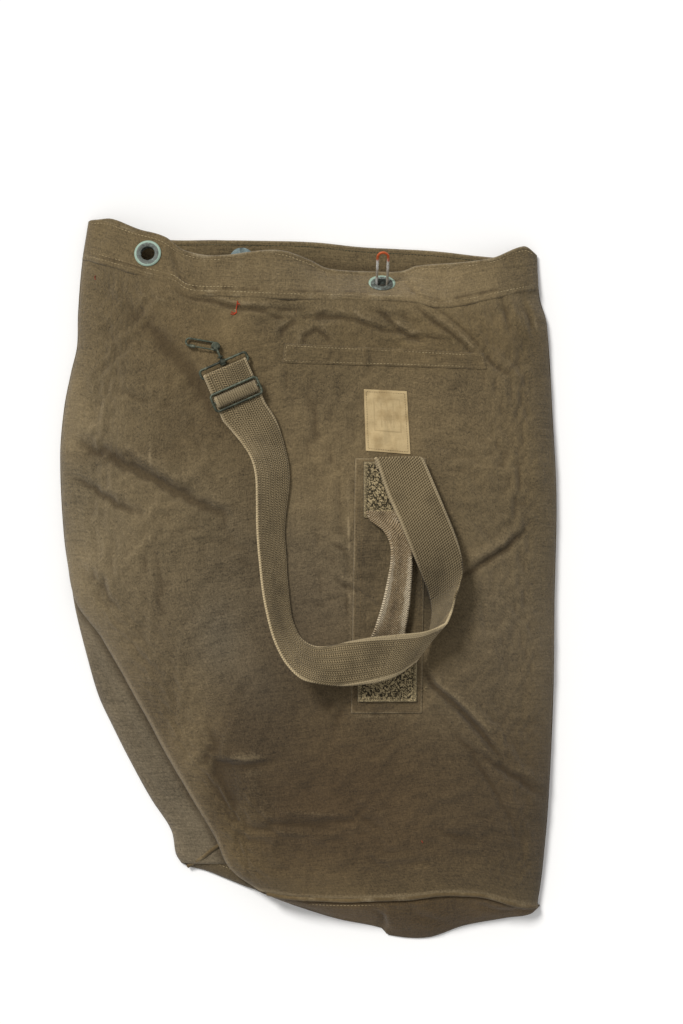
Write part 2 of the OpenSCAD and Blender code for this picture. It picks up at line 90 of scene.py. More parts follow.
def through(knots: Knots, x: Array | float) -> Array:
    """A smooth curve through knots of position and value.

    Args:
        knots: pairs of position and value, in rising order of position.
        x: positions to read.

    Returns:
        The curve's value at each position, held level past both ends.
    """
    k = np.asarray(knots, float)
    x = np.clip(np.asarray(x, float), k[0, 0], k[-1, 0])
    i = np.clip(np.searchsorted(k[:, 0], x, side="right") - 1, 0, len(k) - 2)
    slope = np.empty(len(k))
    slope[1:-1] = (k[2:, 1] - k[:-2, 1]) / (k[2:, 0] - k[:-2, 0])
    slope[0] = (k[1, 1] - k[0, 1]) / (k[1, 0] - k[0, 0])
    slope[-1] = (k[-1, 1] - k[-2, 1]) / (k[-1, 0] - k[-2, 0])
    h = k[i + 1, 0] - k[i, 0]
    t = (x - k[i, 0]) / h
    return ((2 * t**3 - 3 * t**2 + 1) * k[i, 1] + (t**3 - 2 * t**2 + t) * h * slope[i]
            + (3 * t**2 - 2 * t**3) * k[i + 1, 1] + (t**3 - t**2) * h * slope[i + 1])


def ease(t: Array | float) -> Array:
    """A smooth step from 0 at t = 0 to 1 at t = 1."""
    c = np.clip(t, 0, 1)
    return c * c * (3 - 2 * c)


def bell(x: Array, middle: float, width: float) -> Array:
    """A soft bump of height 1 at the middle, which is down to 0.37 one width away from it."""
    return np.exp(-((x - middle) / width) ** 2)


def ramp(t: Array, soft: float = 0.2) -> Array:
    """A straight slope from 0 to 1 with its ends eased over the share soft."""
    t = np.clip(t, 0, 1)
    start = t * t / (2 * soft * (1 - soft))
    end = 1 - (1 - t) ** 2 / (2 * soft * (1 - soft))
    return np.where(t < soft, start, np.where(t > 1 - soft, end, (t - soft / 2) / (1 - soft)))


def spline(points: Sequence[Sequence[float]], steps: int) -> Array:
    """A Catmull-Rom curve through points of any number of values.

    Args:
        points: the points to pass through.
        steps: how many samples lie on each span.

    Returns:
        The samples, one row each, both ends included.
    """
    p = np.asarray(points, float)
    p = np.vstack([p[0], p, p[-1]])
    rows = []
    for i in range(1, len(p) - 2):
        a, b, c, d = p[i - 1], p[i], p[i + 1], p[i + 2]
        for t in np.arange(steps) / steps:
            rows.append(b + t * 0.5 * (c - a) + t * t * (a - 2.5 * b + 2 * c - 0.5 * d)
                        + t**3 * 0.5 * (3 * b - a - 3 * c + d))
    rows.append(p[-2])
    return np.array(rows)


def even(path: Array, step: float) -> Array:
    """The same path with its points about step apart."""
    length = np.r_[0, np.cumsum(np.linalg.norm(np.diff(path, axis=0), axis=1))]
    count = max(int(round(length[-1] / step)), 1)
    at = np.linspace(0, length[-1], count + 1)
    return np.stack([np.interp(at, length, path[:, i]) for i in range(path.shape[1])], axis=1)


def normals_of(grid: Array) -> Array:
    """Unit normals of a grid of points, rows by columns by 3, on the side of columns x rows."""
    across = np.gradient(grid, axis=1)
    along = np.gradient(grid, axis=0)
    n = np.cross(across, along)
    return n / np.maximum(np.linalg.norm(n, axis=2, keepdims=True), 1e-9)


def clouds(points: Array, size: float, seed: float, octaves: int = 3) -> Array:
    """Smooth random values of about -1 to 1 at points.

    Args:
        points: an array whose last axis is x, y, z in millimetres.
        size: the width of the largest lumps, in millimetres.
        seed: shifts the pattern.
        octaves: how many finer layers are added.

    Returns:
        One value for each point.
    """
    flat = points.reshape(-1, 3) / size
    values = [noise.fractal(Vector((p[0] + seed, p[1] - seed, p[2] + 2 * seed)), 1.0, 2.0, octaves)
              for p in flat]
    return np.array(values).reshape(points.shape[:-1])


def bent_round(points: Array, path: Sequence[Sequence[float]]) -> tuple[Array, Array]:
    """Distance of points from a path in the XY plane.

    Args:
        points: an array whose last axis starts with x, y.
        path: the path's corners as x, y.

    Returns:
        The signed distance, above 0 on the path's left, and the share of the way along the path.
    """
    p = np.asarray(path, float)
    legs = np.linalg.norm(np.diff(p, axis=0), axis=1)
    start = np.r_[0, np.cumsum(legs)]
    best = np.full(points.shape[:-1], 1e9)
    side = np.zeros_like(best)
    along = np.zeros_like(best)
    for i, leg in enumerate(legs):
        d = (p[i + 1] - p[i]) / leg
        rel = points[..., :2] - p[i]
        t = np.clip(rel @ d, 0, leg)
        off = rel - t[..., None] * d
        gap = np.linalg.norm(off, axis=-1)
        near = gap < best
        turn = d[0] * rel[..., 1] - d[1] * rel[..., 0]
        best = np.where(near, gap, best)
        side = np.where(near, np.sign(turn), side)
        along = np.where(near, (start[i] + t) / start[-1], along)
    return best * side, along


# ---------------------------------------------------------------- meshes

def new_piece(name: str, vertices: Array, faces: Sequence[Sequence[int]]) -> Piece:
    """A smooth-shaded mesh object from points in millimetres.

    Args:
        name: the piece's name.
        vertices: points in millimetres.
        faces: corners of each face.

    Returns:
        The linked object.
    """
    mesh = bpy.data.meshes.new(name)
    mesh.from_pydata((np.asarray(vertices, float) * MM).tolist(), [], [list(map(int, f)) for f in faces])
    mesh.validate()
    mesh.polygons.foreach_set("use_smooth", [True] * len(mesh.polygons))
    piece = bpy.data.objects.new(name, mesh)
    bpy.context.scene.collection.objects.link(piece)
    return piece


def add_values(piece: Piece, name: str, values: Array) -> None:
    """Stores one number for each vertex as the attribute name."""
    layer = piece.data.attributes.new(name, "FLOAT", "POINT")
    layer.data.foreach_set("value", np.ascontiguousarray(values, np.float32).ravel())


def add_colours(piece: Piece, name: str, values: Array) -> None:
    """Stores one colour for each vertex as the attribute name."""
    layer = piece.data.attributes.new(name, "FLOAT_COLOR", "POINT")
    rgba = np.concatenate([values.reshape(-1, 3), np.ones((values.size // 3, 1))], axis=1)
    layer.data.foreach_set("color", np.ascontiguousarray(rgba, np.float32).ravel())


@dataclass
class Sheet:
    """A closed layer of cloth made from a grid of points on its middle."""

    grid: Array
    low: float
    high: float
    round_edges: bool = True
    floor: float = -1e9

    def build(self, name: str, extra: dict[str, Array] | None = None) -> Piece:
        """Makes the mesh, with UVs in metres along the cloth.

        Args:
            name: the piece's name.
            extra: numbers or colours for each grid point, stored as attributes on both faces.

        Returns:
            The piece.
        """
        g = self.grid
        rows, cols = g.shape[:2]
        n = normals_of(g)
        top = (g + n * self.high).reshape(-1, 3)
        under = (g + n * self.low).reshape(-1, 3)
        index = np.arange(rows * cols).reshape(rows, cols)
        ring = np.concatenate([index[0, :], index[1:, -1], index[-1, -2::-1], index[-2:0:-1, 0]])
        mid, half = (self.low + self.high) / 2, (self.high - self.low) / 2
        out = self._outwards(g).reshape(-1, 3)[ring] * half * (0.9 if self.round_edges else 0.0)
        edge = (g + n * mid).reshape(-1, 3)[ring] + out
        k = rows * cols
        points = np.vstack([top, under, edge])
        points[:, 2] = np.maximum(points[:, 2], self.floor)
        a, b, c, d = index[:-1, :-1], index[:-1, 1:], index[1:, 1:], index[1:, :-1]
        faces = np.stack([a, b, c, d], -1).reshape(-1, 4).tolist()
        faces += (np.stack([d, c, b, a], -1).reshape(-1, 4) + k).tolist()
        m = len(ring)
        for i in range(m):
            j = (i + 1) % m
            faces.append([ring[j], ring[i], 2 * k + i, 2 * k + j])
            faces.append([2 * k + j, 2 * k + i, ring[i] + k, ring[j] + k])
        piece = new_piece(name, points, faces)
        lead = np.concatenate([np.arange(k), np.arange(k), ring])
        add_values(piece, "side", np.concatenate([np.zeros(k), np.ones(k), np.full(m, 0.4)]))
        for key, values in (extra or {}).items():
            if values.ndim == 3:
                add_colours(piece, key, values.reshape(-1, 3)[lead])
            else:
                add_values(piece, key, values.reshape(-1)[lead])
        self._lay_uvs(piece, lead)
        return piece

    def _outwards(self, g: Array) -> Array:
        """Unit vectors in the cloth that point away from the grid's middle at its border."""
        across, along = np.gradient(g, axis=1), np.gradient(g, axis=0)
        out = np.zeros_like(g)
        out[:, 0] -= across[:, 0]
        out[:, -1] += across[:, -1]
        out[0] -= along[0]
        out[-1] += along[-1]
        return out / np.maximum(np.linalg.norm(out, axis=2, keepdims=True), 1e-9)

    def _lay_uvs(self, piece: Piece, lead: Array) -> None:
        """Gives each corner its distance across and along the cloth, in metres."""
        g = self.grid
        u = np.concatenate([np.zeros((g.shape[0], 1)),
                            np.cumsum(np.linalg.norm(np.diff(g, axis=1), axis=2), axis=1)], axis=1)
        v = np.concatenate([np.zeros((1, g.shape[1])),
                            np.cumsum(np.linalg.norm(np.diff(g, axis=0), axis=2), axis=0)], axis=0)
        u -= u[:, g.shape[1] // 2][:, None]
        flat = np.stack([u, v], -1).reshape(-1, 2)[lead] * MM
        layer = piece.data.uv_layers.new(name="cloth")
        corners = np.empty(len(piece.data.loops), np.int32)
        piece.data.loops.foreach_get("vertex_index", corners)
        layer.data.foreach_set("uv", flat[corners].astype(np.float32).ravel())


def tube_points(path: Array, radius: float, sides: int, squash: float = 1.0) -> Array:
    """Rings of points round a path.

    Args:
        path: points of the middle line.
        radius: the tube's radius.
        sides: points in each ring.
        squash: the height of the section as a share of its width.

    Returns:
        An array of rings by sides by 3.
    """
    t = np.gradient(path, axis=0)
    t /= np.maximum(np.linalg.norm(t, axis=1, keepdims=True), 1e-9)
    up = np.array([0.0, 0.0, 1.0])
    a = np.cross(up, t)
    a /= np.maximum(np.linalg.norm(a, axis=1, keepdims=True), 1e-9)
    b = np.cross(t, a)
    angle = 2 * math.pi * np.arange(sides) / sides
    return (path[:, None] + radius * (np.cos(angle)[None, :, None] * a[:, None]
                                      + squash * np.sin(angle)[None, :, None] * b[:, None]))


def ring_faces(rings: int, sides: int, start: int = 0) -> list[list[int]]:
    """Faces of a capped tube whose points are numbered ring by ring from start."""
    faces = [[start + j * sides + i, start + j * sides + (i + 1) % sides,
              start + (j + 1) * sides + (i + 1) % sides, start + (j + 1) * sides + i]
             for j in range(rings - 1) for i in range(sides)]
    faces.append([start + i for i in range(sides - 1, -1, -1)])
    faces.append([start + (rings - 1) * sides + i for i in range(sides)])
    return faces


# ---------------------------------------------------------------- node recipes

def tone(red: int, green: int, blue: int) -> tuple[float, float, float]:
    """A linear colour from display values of 0 to 255."""
    return tuple(c / 255 / 12.92 if c <= 10 else ((c / 255 + 0.055) / 1.055) ** 2.4
                 for c in (red, green, blue))


class Recipe:
    """A material's node tree, with short calls for the steps that a finish is made of."""

    def __init__(self, name: str) -> None:
        """Starts an empty material called name."""
        self.material = bpy.data.materials.new(name)
        self.material.use_nodes = True
        self.tree = self.material.node_tree
        self.tree.nodes.clear()
        self.output = self.tree.nodes.new("ShaderNodeOutputMaterial")
        self.shader = self.tree.nodes.new("ShaderNodeBsdfPrincipled")
        self.tree.links.new(self.shader.outputs[0], self.output.inputs[0])

    def put(self, socket: Socket, value: object) -> None:
        """Links value to socket if it is a socket, and else sets it there."""
        if isinstance(value, Socket):
            self.tree.links.new(value, socket)
        elif isinstance(value, tuple) and len(value) == 3 and socket.type == "RGBA":
            socket.default_value = (*value, 1.0)
        else:
            socket.default_value = value

    def place(self, coords: str = "Object") -> Socket:
        """The surface's coordinates: Object, or UV for distances along the cloth."""
        return self.tree.nodes.new("ShaderNodeTexCoord").outputs[coords]

    def stretch(self, vector: Socket, scale: tuple) -> Socket:
        """The vector scaled on each axis."""
        node = self.tree.nodes.new("ShaderNodeMapping")
        self.put(node.inputs["Vector"], vector)
        node.inputs["Scale"].default_value = scale
        return node.outputs[0]

    def mottle(self, vector: Socket, scale: float, detail: float = 3.0, rough: float = 0.55) -> Socket:
        """Noise of 0 to 1 with scale lumps to the metre."""
        node = self.tree.nodes.new("ShaderNodeTexNoise")
        self.put(node.inputs["Vector"], vector)
        node.inputs["Scale"].default_value = scale
        node.inputs["Detail"].default_value = detail
        node.inputs["Roughness"].default_value = rough
        return node.outputs["Fac"]

    def threads(self, at: Socket, across: float, along: float, detail: float = 3.0,
                rough: float = 0.55) -> Socket:
        """Noise with so many lumps to the metre across and along the cloth."""
        return self.mottle(self.stretch(at, (across, along, 1)), 1.0, detail, rough)

    def sum(self, how: str, a: object, b: object = 0.0) -> Socket:
        """One step of arithmetic, named as Blender names it."""
        node = self.tree.nodes.new("ShaderNodeMath")
        node.operation = how
        self.put(node.inputs[0], a)
        self.put(node.inputs[1], b)
        return node.outputs[0]

    def swing(self, value: object, gain: float) -> Socket:
        """How far value is from 0.5, times gain."""
        return self.sum("MULTIPLY", self.sum("SUBTRACT", value, 0.5), gain)

    def span(self, value: object, low: float, high: float, start: float = 0.0,
             end: float = 1.0) -> Socket:
        """Moves low to high onto start to end, smoothly and without passing them."""
        node = self.tree.nodes.new("ShaderNodeMapRange")
        node.interpolation_type = "SMOOTHSTEP"
        self.put(node.inputs["Value"], value)
        for key, number in (("From Min", low), ("From Max", high), ("To Min", start), ("To Max", end)):
            node.inputs[key].default_value = number
        return node.outputs["Result"]

    def mix(self, share: object, a: object, b: object, how: str = "MIX") -> Socket:
        """Colour a with share of colour b."""
        node = self.tree.nodes.new("ShaderNodeMix")
        node.data_type = "RGBA"
        node.blend_type = how
        self.put(node.inputs["Factor"], share)
        self.put(node.inputs[6], a)
        self.put(node.inputs[7], b)
        return node.outputs[2]

    def read(self, name: str, colour: bool = False) -> Socket:
        """The piece's attribute called name."""
        node = self.tree.nodes.new("ShaderNodeAttribute")
        node.attribute_name = name
        return node.outputs["Color" if colour else "Fac"]

    def split(self, vector: Socket) -> tuple[Socket, ...]:
        """The x, y and z of a vector."""
        node = self.tree.nodes.new("ShaderNodeSeparateXYZ")
        self.put(node.inputs[0], vector)
        return tuple(node.outputs)

    def bumps(self, *layers: tuple[object, float]) -> Socket:
        """Bump layers, each a height of 0 to 1 and the distance in metres that it stands for."""
        normal = None
        for height, distance in layers:
            node = self.tree.nodes.new("ShaderNodeBump")
            node.inputs["Distance"].default_value = distance
            self.put(node.inputs["Height"], height)
            if normal is not None:
                self.put(node.inputs["Normal"], normal)
            normal = node.outputs[0]
        return normal

    def finish(self, colour: object, roughness: object,
               normal: Socket | None = None, metal: float = 0.0,
               sheen: float = 0.0, specular: float = 0.3) -> Material:
        """Joins the colours and heights to the shader.

        Args:
            colour: the base colour.
            roughness: a number or a socket.
            normal: the bumped normal, if there is one.
            metal: 1 for bare metal.
            sheen: the strength of the cloth's soft edge light.
            specular: the strength of the gloss.

        Returns:
            The material.
        """
        self.put(self.shader.inputs["Base Color"], colour)
        self.put(self.shader.inputs["Roughness"], roughness)
        if normal is not None:
            self.put(self.shader.inputs["Normal"], normal)
        self.shader.inputs["Metallic"].default_value = metal
        self.shader.inputs["Sheen Weight"].default_value = sheen
        self.shader.inputs["Sheen Roughness"].default_value = 0.6
        self.shader.inputs["Specular IOR Level"].default_value = specular
        return self.material


@dataclass(frozen=True)
class CanvasFinish:
    """Old cotton duck: a plain weave with uneven yarns, faded and soiled in patches."""

    name: str = "duck_canvas"
    # pale serves rub wear and painted light; soil serves real soil and painted shade.
    pale: tuple = tone(156, 138, 106)
    soil: tuple = tone(58, 45, 27)

    def make(self) -> Material:
        """Returns the material, which reads the attributes for dye and wear; both also carry painted shade
        and painted light.
        """
        r = Recipe(self.name)
        at = r.place("UV")
        warp = r.threads(at, 1050, 300, 2.0, 0.6)
        weft = r.threads(at, 240, 1050, 2.0, 0.6)
        slubs = r.threads(at, 420, 45, 2.0)
        slubs_too = r.threads(at, 30, 420, 2.0)
        blotch = r.mottle(r.place(), 11.0, 5.0, 0.6)
        specks = r.mottle(r.place(), 520.0, 3.0, 0.7)
        yarns = r.sum("MULTIPLY", r.sum("ADD", warp, weft), 0.5)
        smudge = r.mottle(r.place(), 70.0, 4.0, 0.6)
        light = 1.0
        for layer, gain in ((yarns, 2.3), (slubs, 0.45), (slubs_too, 0.7), (specks, 0.9),
                            (smudge, 0.22), (blotch, 1.25)):
            light = r.sum("ADD", light, r.swing(layer, gain))
        tint = r.mix(1.0, r.read("dye_and_painted_shadow", True), light, "MULTIPLY")
        # Wear above 0 pales the cloth and below 0 darkens it; besides rub wear and soil it carries painted
        # shade and painted light from creases, overhangs and the fold edge.
        wear_and_painted_shading = r.read("wear_and_painted_shading")
        worn = r.sum("ADD", wear_and_painted_shading, r.swing(specks, 0.7))
        tint = r.mix(r.span(worn, 0.12, 0.9, 0.0, 0.62), tint, self.pale)
        tint = r.mix(r.span(wear_and_painted_shading, -0.03, -0.6, 0.0, 0.55), tint, self.soil)
        normal = r.bumps((smudge, 0.0014), (yarns, 0.0011), (r.sum("ADD", slubs, slubs_too), 0.0004))
        return r.finish(tint, r.span(blotch, 0.3, 0.7, 0.82, 0.95), normal, sheen=0.12, specular=0.12)


class Weave(Enum):
    """How a strap's yarns run."""

    TWILL = "twill"
    TWO_FACED = "chevron above, twill below"


@dataclass(frozen=True)
class WebbingFinish:
    """Woven cotton webbing whose UVs run across and along it."""

    name: str
    weave: Weave = Weave.TWILL
    plain: tuple = tone(120, 104, 74)
    pale: tuple = tone(172, 155, 122)
    dark: tuple = tone(50, 41, 25)
    half_width: float = 22.0
    pitch: float = 2.4
    end_pitch: float = 2.3
    chevron: float = 3.2

    def make(self) -> Material:
        """Returns the material, which reads the attribute side where the two faces differ, and the strap's
        painted light and shade.
        """
        r = Recipe(self.name)
        at = r.place("UV")
        across, along, _ = r.split(at)
        tau = 2 * math.pi
        pitch = self.pitch * MM
        slant = r.sum("ADD", along, r.sum("MULTIPLY", across, 0.75))
        if self.weave is Weave.TWO_FACED:
            band = r.sum("PINGPONG", r.sum("ADD", across, 1.0), self.chevron * MM)
            bent = r.sum("ADD", along, r.sum("MULTIPLY", band, 0.9))
            under = r.sum("GREATER_THAN", r.read("side"), 0.5)
            slant = r.sum("ADD", r.sum("MULTIPLY", slant, under),
                          r.sum("MULTIPLY", bent, r.sum("SUBTRACT", 1.0, under)))
        rib = r.sum("SINE", r.sum("MULTIPLY", slant, tau / pitch))
        end = r.sum("SINE", r.sum("MULTIPLY", across, tau / (self.end_pitch * MM)))
        ribs = r.sum("ADD", r.sum("MULTIPLY", rib, 0.3), r.sum("ADD", r.sum("MULTIPLY", end, 0.2), 0.5))
        fuzz = r.threads(at, 900, 420, 3.0, 0.7)
        blotch = r.mottle(r.place(), 26.0, 4.0, 0.6)
        edge = r.sum("ABSOLUTE", across)
        worn = r.sum("ADD", r.span(edge, (self.half_width - 2.6) * MM, (self.half_width - 0.2) * MM),
                     r.swing(fuzz, 0.6))
        tint = r.mix(r.span(ribs, 0.15, 0.58, 0.88, 0.0), self.plain, self.dark)
        tint = r.mix(r.span(ribs, 0.50, 0.90, 0.0, 0.48), tint, self.pale)
        tint = r.mix(r.span(fuzz, 0.52, 0.72, 0.0, 0.45), tint, self.pale)
        tint = r.mix(r.span(blotch, 0.45, 0.70, 0.0, 0.40), tint, self.dark)
        tint = r.mix(r.span(worn, 0.35, 1.0, 0.0, 0.65), tint, self.pale)
        # Painted light and shade: the strap's attribute brightens the webbing where it stands on edge and
        # darkens it beside the handle.
        tint = r.mix(1.0, tint, r.sum("ADD", 1.0, r.read("taper_and_painted_light")), "MULTIPLY")
        normal = r.bumps((ribs, 0.0008), (fuzz, 0.0005))
        return r.finish(tint, 0.9, normal, sheen=0.10, specular=0.14)


@dataclass(frozen=True)
class MetalFinish:
    """Wire or pressed metal with tarnish, dirt and, where asked, rust."""

    name: str
    plain: tuple
    worn: tuple
    grime: tuple
    metal: float = 0.5
    gloss: float = 0.42
    lumps: float = 350.0
    rust_from: float | None = None
    rust: tuple = tone(176, 80, 32)
    rim: tuple | None = None

    def make(self) -> Material:
        """Returns the material; rust_from is the share of the piece's length along Y that stays bare."""
        r = Recipe(self.name)
        at = r.place()
        spots = r.mottle(at, self.lumps, 4.0, 0.65)
        patches = r.mottle(at, self.lumps * 0.22, 3.0, 0.6)
        tint = r.mix(r.span(spots, 0.48, 0.70), self.plain, self.worn)
        tint = r.mix(r.span(patches, 0.46, 0.66, 0.0, 0.85), tint, self.grime)
        if self.rim is not None:
            x, y, _ = r.split(r.stretch(r.place("Generated"), (2, 2, 2)))
            out = r.sum("SQRT", r.sum("ADD", r.sum("POWER", r.sum("SUBTRACT", x, 1.0), 2.0),
                                      r.sum("POWER", r.sum("SUBTRACT", y, 1.0), 2.0)))
            uneven = r.sum("ADD", out, r.swing(spots, 0.12))
            tint = r.mix(r.span(uneven, 0.80, 0.88), tint, self.rim)
        if self.rust_from is not None:
            _, y, _ = r.split(r.place("Generated"))
            wavy = r.sum("ADD", y, r.swing(spots, 0.25))
            tint = r.mix(r.span(wavy, self.rust_from, self.rust_from + 0.08), tint, self.rust)
        rough = r.span(spots, 0.3, 0.7, self.gloss, self.gloss + 0.3)
        normal = r.bumps((spots, 0.0002), (patches, 0.0002))
        return r.finish(tint, rough, normal, metal=self.metal, specular=0.5)


@dataclass(frozen=True)
class ThreadFinish:
    """Twisted sewing thread."""

    name: str
    plain: tuple
    soil: tuple

    def make(self) -> Material:
        """Returns the material, with the twist as fine bumps."""
        r = Recipe(self.name)
        at = r.place()
        fuzz = r.mottle(at, 1800.0, 3.0, 0.7)
        dirt = r.mottle(at, 45.0, 3.0, 0.6)
        tint = r.mix(r.span(dirt, 0.42, 0.62), self.plain, self.soil)
        tint = r.mix(r.span(fuzz, 0.55, 0.75, 0.0, 0.5), tint, self.soil)
        return r.finish(tint, 0.85, r.bumps((fuzz, 0.0002)), sheen=0.1, specular=0.15)


@dataclass(frozen=True)
class LabelFinish:
    """Tan woven tape with an old, unreadable ruled box."""

    name: str = "label_tape"
    plain: tuple = tone(188, 166, 124)
    soil: tuple = tone(150, 126, 86)
    ink: tuple = tone(128, 108, 76)

    def make(self) -> Material:
        """Returns the material."""
        r = Recipe(self.name)
        at = r.place("UV")
        warp = r.threads(at, 2400, 160, 2.0)
        weft = r.threads(at, 160, 2400, 2.0)
        stain = r.mottle(r.place(), 60.0, 4.0, 0.6)
        yarns = r.sum("MULTIPLY", r.sum("ADD", warp, weft), 0.5)
        tint = r.mix(r.span(stain, 0.45, 0.70, 0.0, 0.6), self.plain, self.soil)
        tint = r.mix(r.span(yarns, 0.5, 0.36, 0.0, 0.35), tint, self.soil)
        ink = r.sum("MULTIPLY", r.read("ruled"), r.span(stain, 0.62, 0.40, 0.15, 0.55))
        tint = r.mix(ink, tint, self.ink)
        return r.finish(tint, 0.85, r.bumps((yarns, 0.0005), (stain, 0.0004)), sheen=0.1, specular=0.15)


@dataclass(frozen=True)
class PadFinish:
    """Thick webbing sewn through and through until it is all small knots."""

    name: str = "pad_webbing"
    plain: tuple = tone(112, 99, 72)
    pale: tuple = tone(178, 160, 122)
    dark: tuple = tone(42, 36, 22)

    def make(self) -> Material:
        """Returns the material, which reads the attributes nub and rim."""
        r = Recipe(self.name)
        at = r.place()
        fuzz = r.mottle(at, 700.0, 3.0, 0.7)
        blotch = r.mottle(at, 60.0, 3.0, 0.6)
        knots = r.mottle(at, 820.0, 1.0, 0.4)
        nub = r.sum("ADD", r.sum("MULTIPLY", r.read("nub"), 0.35), r.sum("SUBTRACT", knots, 0.5))
        nub = r.sum("ADD", nub, r.swing(fuzz, 0.4))
        tint = r.mix(r.span(nub, 0.02, 0.15, 0.0, 0.9), self.plain, self.pale)
        tint = r.mix(r.span(nub, 0.01, -0.09, 0.0, 0.95), tint, self.dark)
        tint = r.mix(r.span(blotch, 0.48, 0.68, 0.0, 0.35), tint, self.dark)
        tint = r.mix(r.sum("MULTIPLY", r.read("rim"), 0.35), tint, self.pale)
        return r.finish(tint, 0.92, r.bumps((knots, 0.0012), (fuzz, 0.0004)), sheen=0.1, specular=0.12)


@dataclass(frozen=True)
class GripFinish:
    """Webbing rolled into a grip and polished pale by hands along its edges."""

    name: str = "grip_webbing"
    plain: tuple = tone(166, 143, 108)
    pale: tuple = tone(222, 206, 176)
    dark: tuple = tone(70, 56, 36)
    pitch: float = 2.3

    def make(self) -> Material:
        """Returns the material, which reads the attribute wear."""
        r = Recipe(self.name)
        at = r.place("UV")
        fuzz = r.threads(at, 900, 500, 3.0, 0.7)
        across, along, _ = r.split(at)
        slant = r.sum("ADD", along, r.sum("MULTIPLY", across, 0.9))
        rib = r.sum("SINE", r.sum("MULTIPLY", slant, 2 * math.pi / (self.pitch * MM)))
        blotch = r.mottle(r.place(), 55.0, 4.0, 0.6)
        wear_and_painted_shading = r.sum("ADD", r.read("wear_and_painted_shading"), r.swing(fuzz, 0.7))
        tint = r.mix(r.span(blotch, 0.5, 0.7, 0.0, 0.25), self.plain, self.dark)
        tint = r.mix(r.span(rib, 0.4, -0.8, 0.0, 0.62), tint, self.dark)
        tint = r.mix(r.span(fuzz, 0.52, 0.66, 0.0, 0.5), tint, self.pale)
        twill = r.span(rib, -0.6, 0.4, 0.35, 1.0)
        tint = r.mix(r.sum("MULTIPLY", r.span(wear_and_painted_shading, 0.1, 0.7, 0.0, 0.95), twill), tint, self.pale)
        tint = r.mix(r.span(wear_and_painted_shading, -0.1, -0.7, 0.0, 0.7), tint, self.dark)
        return r.finish(tint, 0.8, r.bumps((rib, 0.0007), (fuzz, 0.0004)), sheen=0.08, specular=0.15)


# ---------------------------------------------------------------- the bag's shape

@dataclass(frozen=True)
class Crease:
    """A fold in the cloth: a valley with a ridge along the left of its path."""

    path: tuple[tuple[float, float], ...]
    width: float
    depth: float
    ridge: float = 0.5

    def _fading(self, points: Array, power: float) -> tuple[Array, Array]:
        """Each point's distance from the path, and a strength that fades to 0 at the path's ends."""
        gap, along = bent_round(points, self.path)
        return gap, np.clip(np.sin(math.pi * np.clip(along, 0.01, 0.99)), 0, 1) ** power

    def height(self, points: Array) -> Array:
        """How far the crease lifts or sinks each point, in millimetres."""
        gap, ends = self._fading(points, 0.7)
        valley = bell(gap, 0, self.width)
        bank = bell(gap, 1.9 * self.width, 1.5 * self.width)
        return ends * self.depth * (self.ridge * bank - valley)

    def crest(self, points: Array) -> Array:
        """How pale a sharp crease is along its ridge, 0 to about 1: rubbed wear and a painted highlight."""
        gap, ends = self._fading(points, 0.5)
        return ends * bell(gap, 1.3 * self.width, 0.5 * self.width) * min(self.depth / 2, 1)

    def shade(self, points: Array) -> Array:
        """Painted shade in the valley, below 0, and painted light on the bank, above it, standing in for the
        crease's lighting.
        """
        gap, ends = self._fading(points, 1.0)
        valley = bell(gap, 0, self.width)
        bank = bell(gap, 1.9 * self.width, 1.2 * self.width)
        depth = min(abs(self.depth) / 4, 1) * (1 if self.depth > 0 else -1)
        return ends * (0.5 * bank - valley) * depth


@dataclass(frozen=True)
class DyePatch:
    """A place where the canvas takes another colour, strongest in the middle; one of them is a painted
    shadow.
    """

    x: float
    y: float
    reach_x: float
    reach_y: float
    shade: tuple
    strength: float = 0.8

    def share(self, points: Array) -> Array:
        """How much of the shade each point takes."""
        far_x = (points[..., 0] - self.x) / self.reach_x
        far_y = (points[..., 1] - self.y) / self.reach_y
        return self.strength * np.exp(-(far_x ** 2 + far_y ** 2))


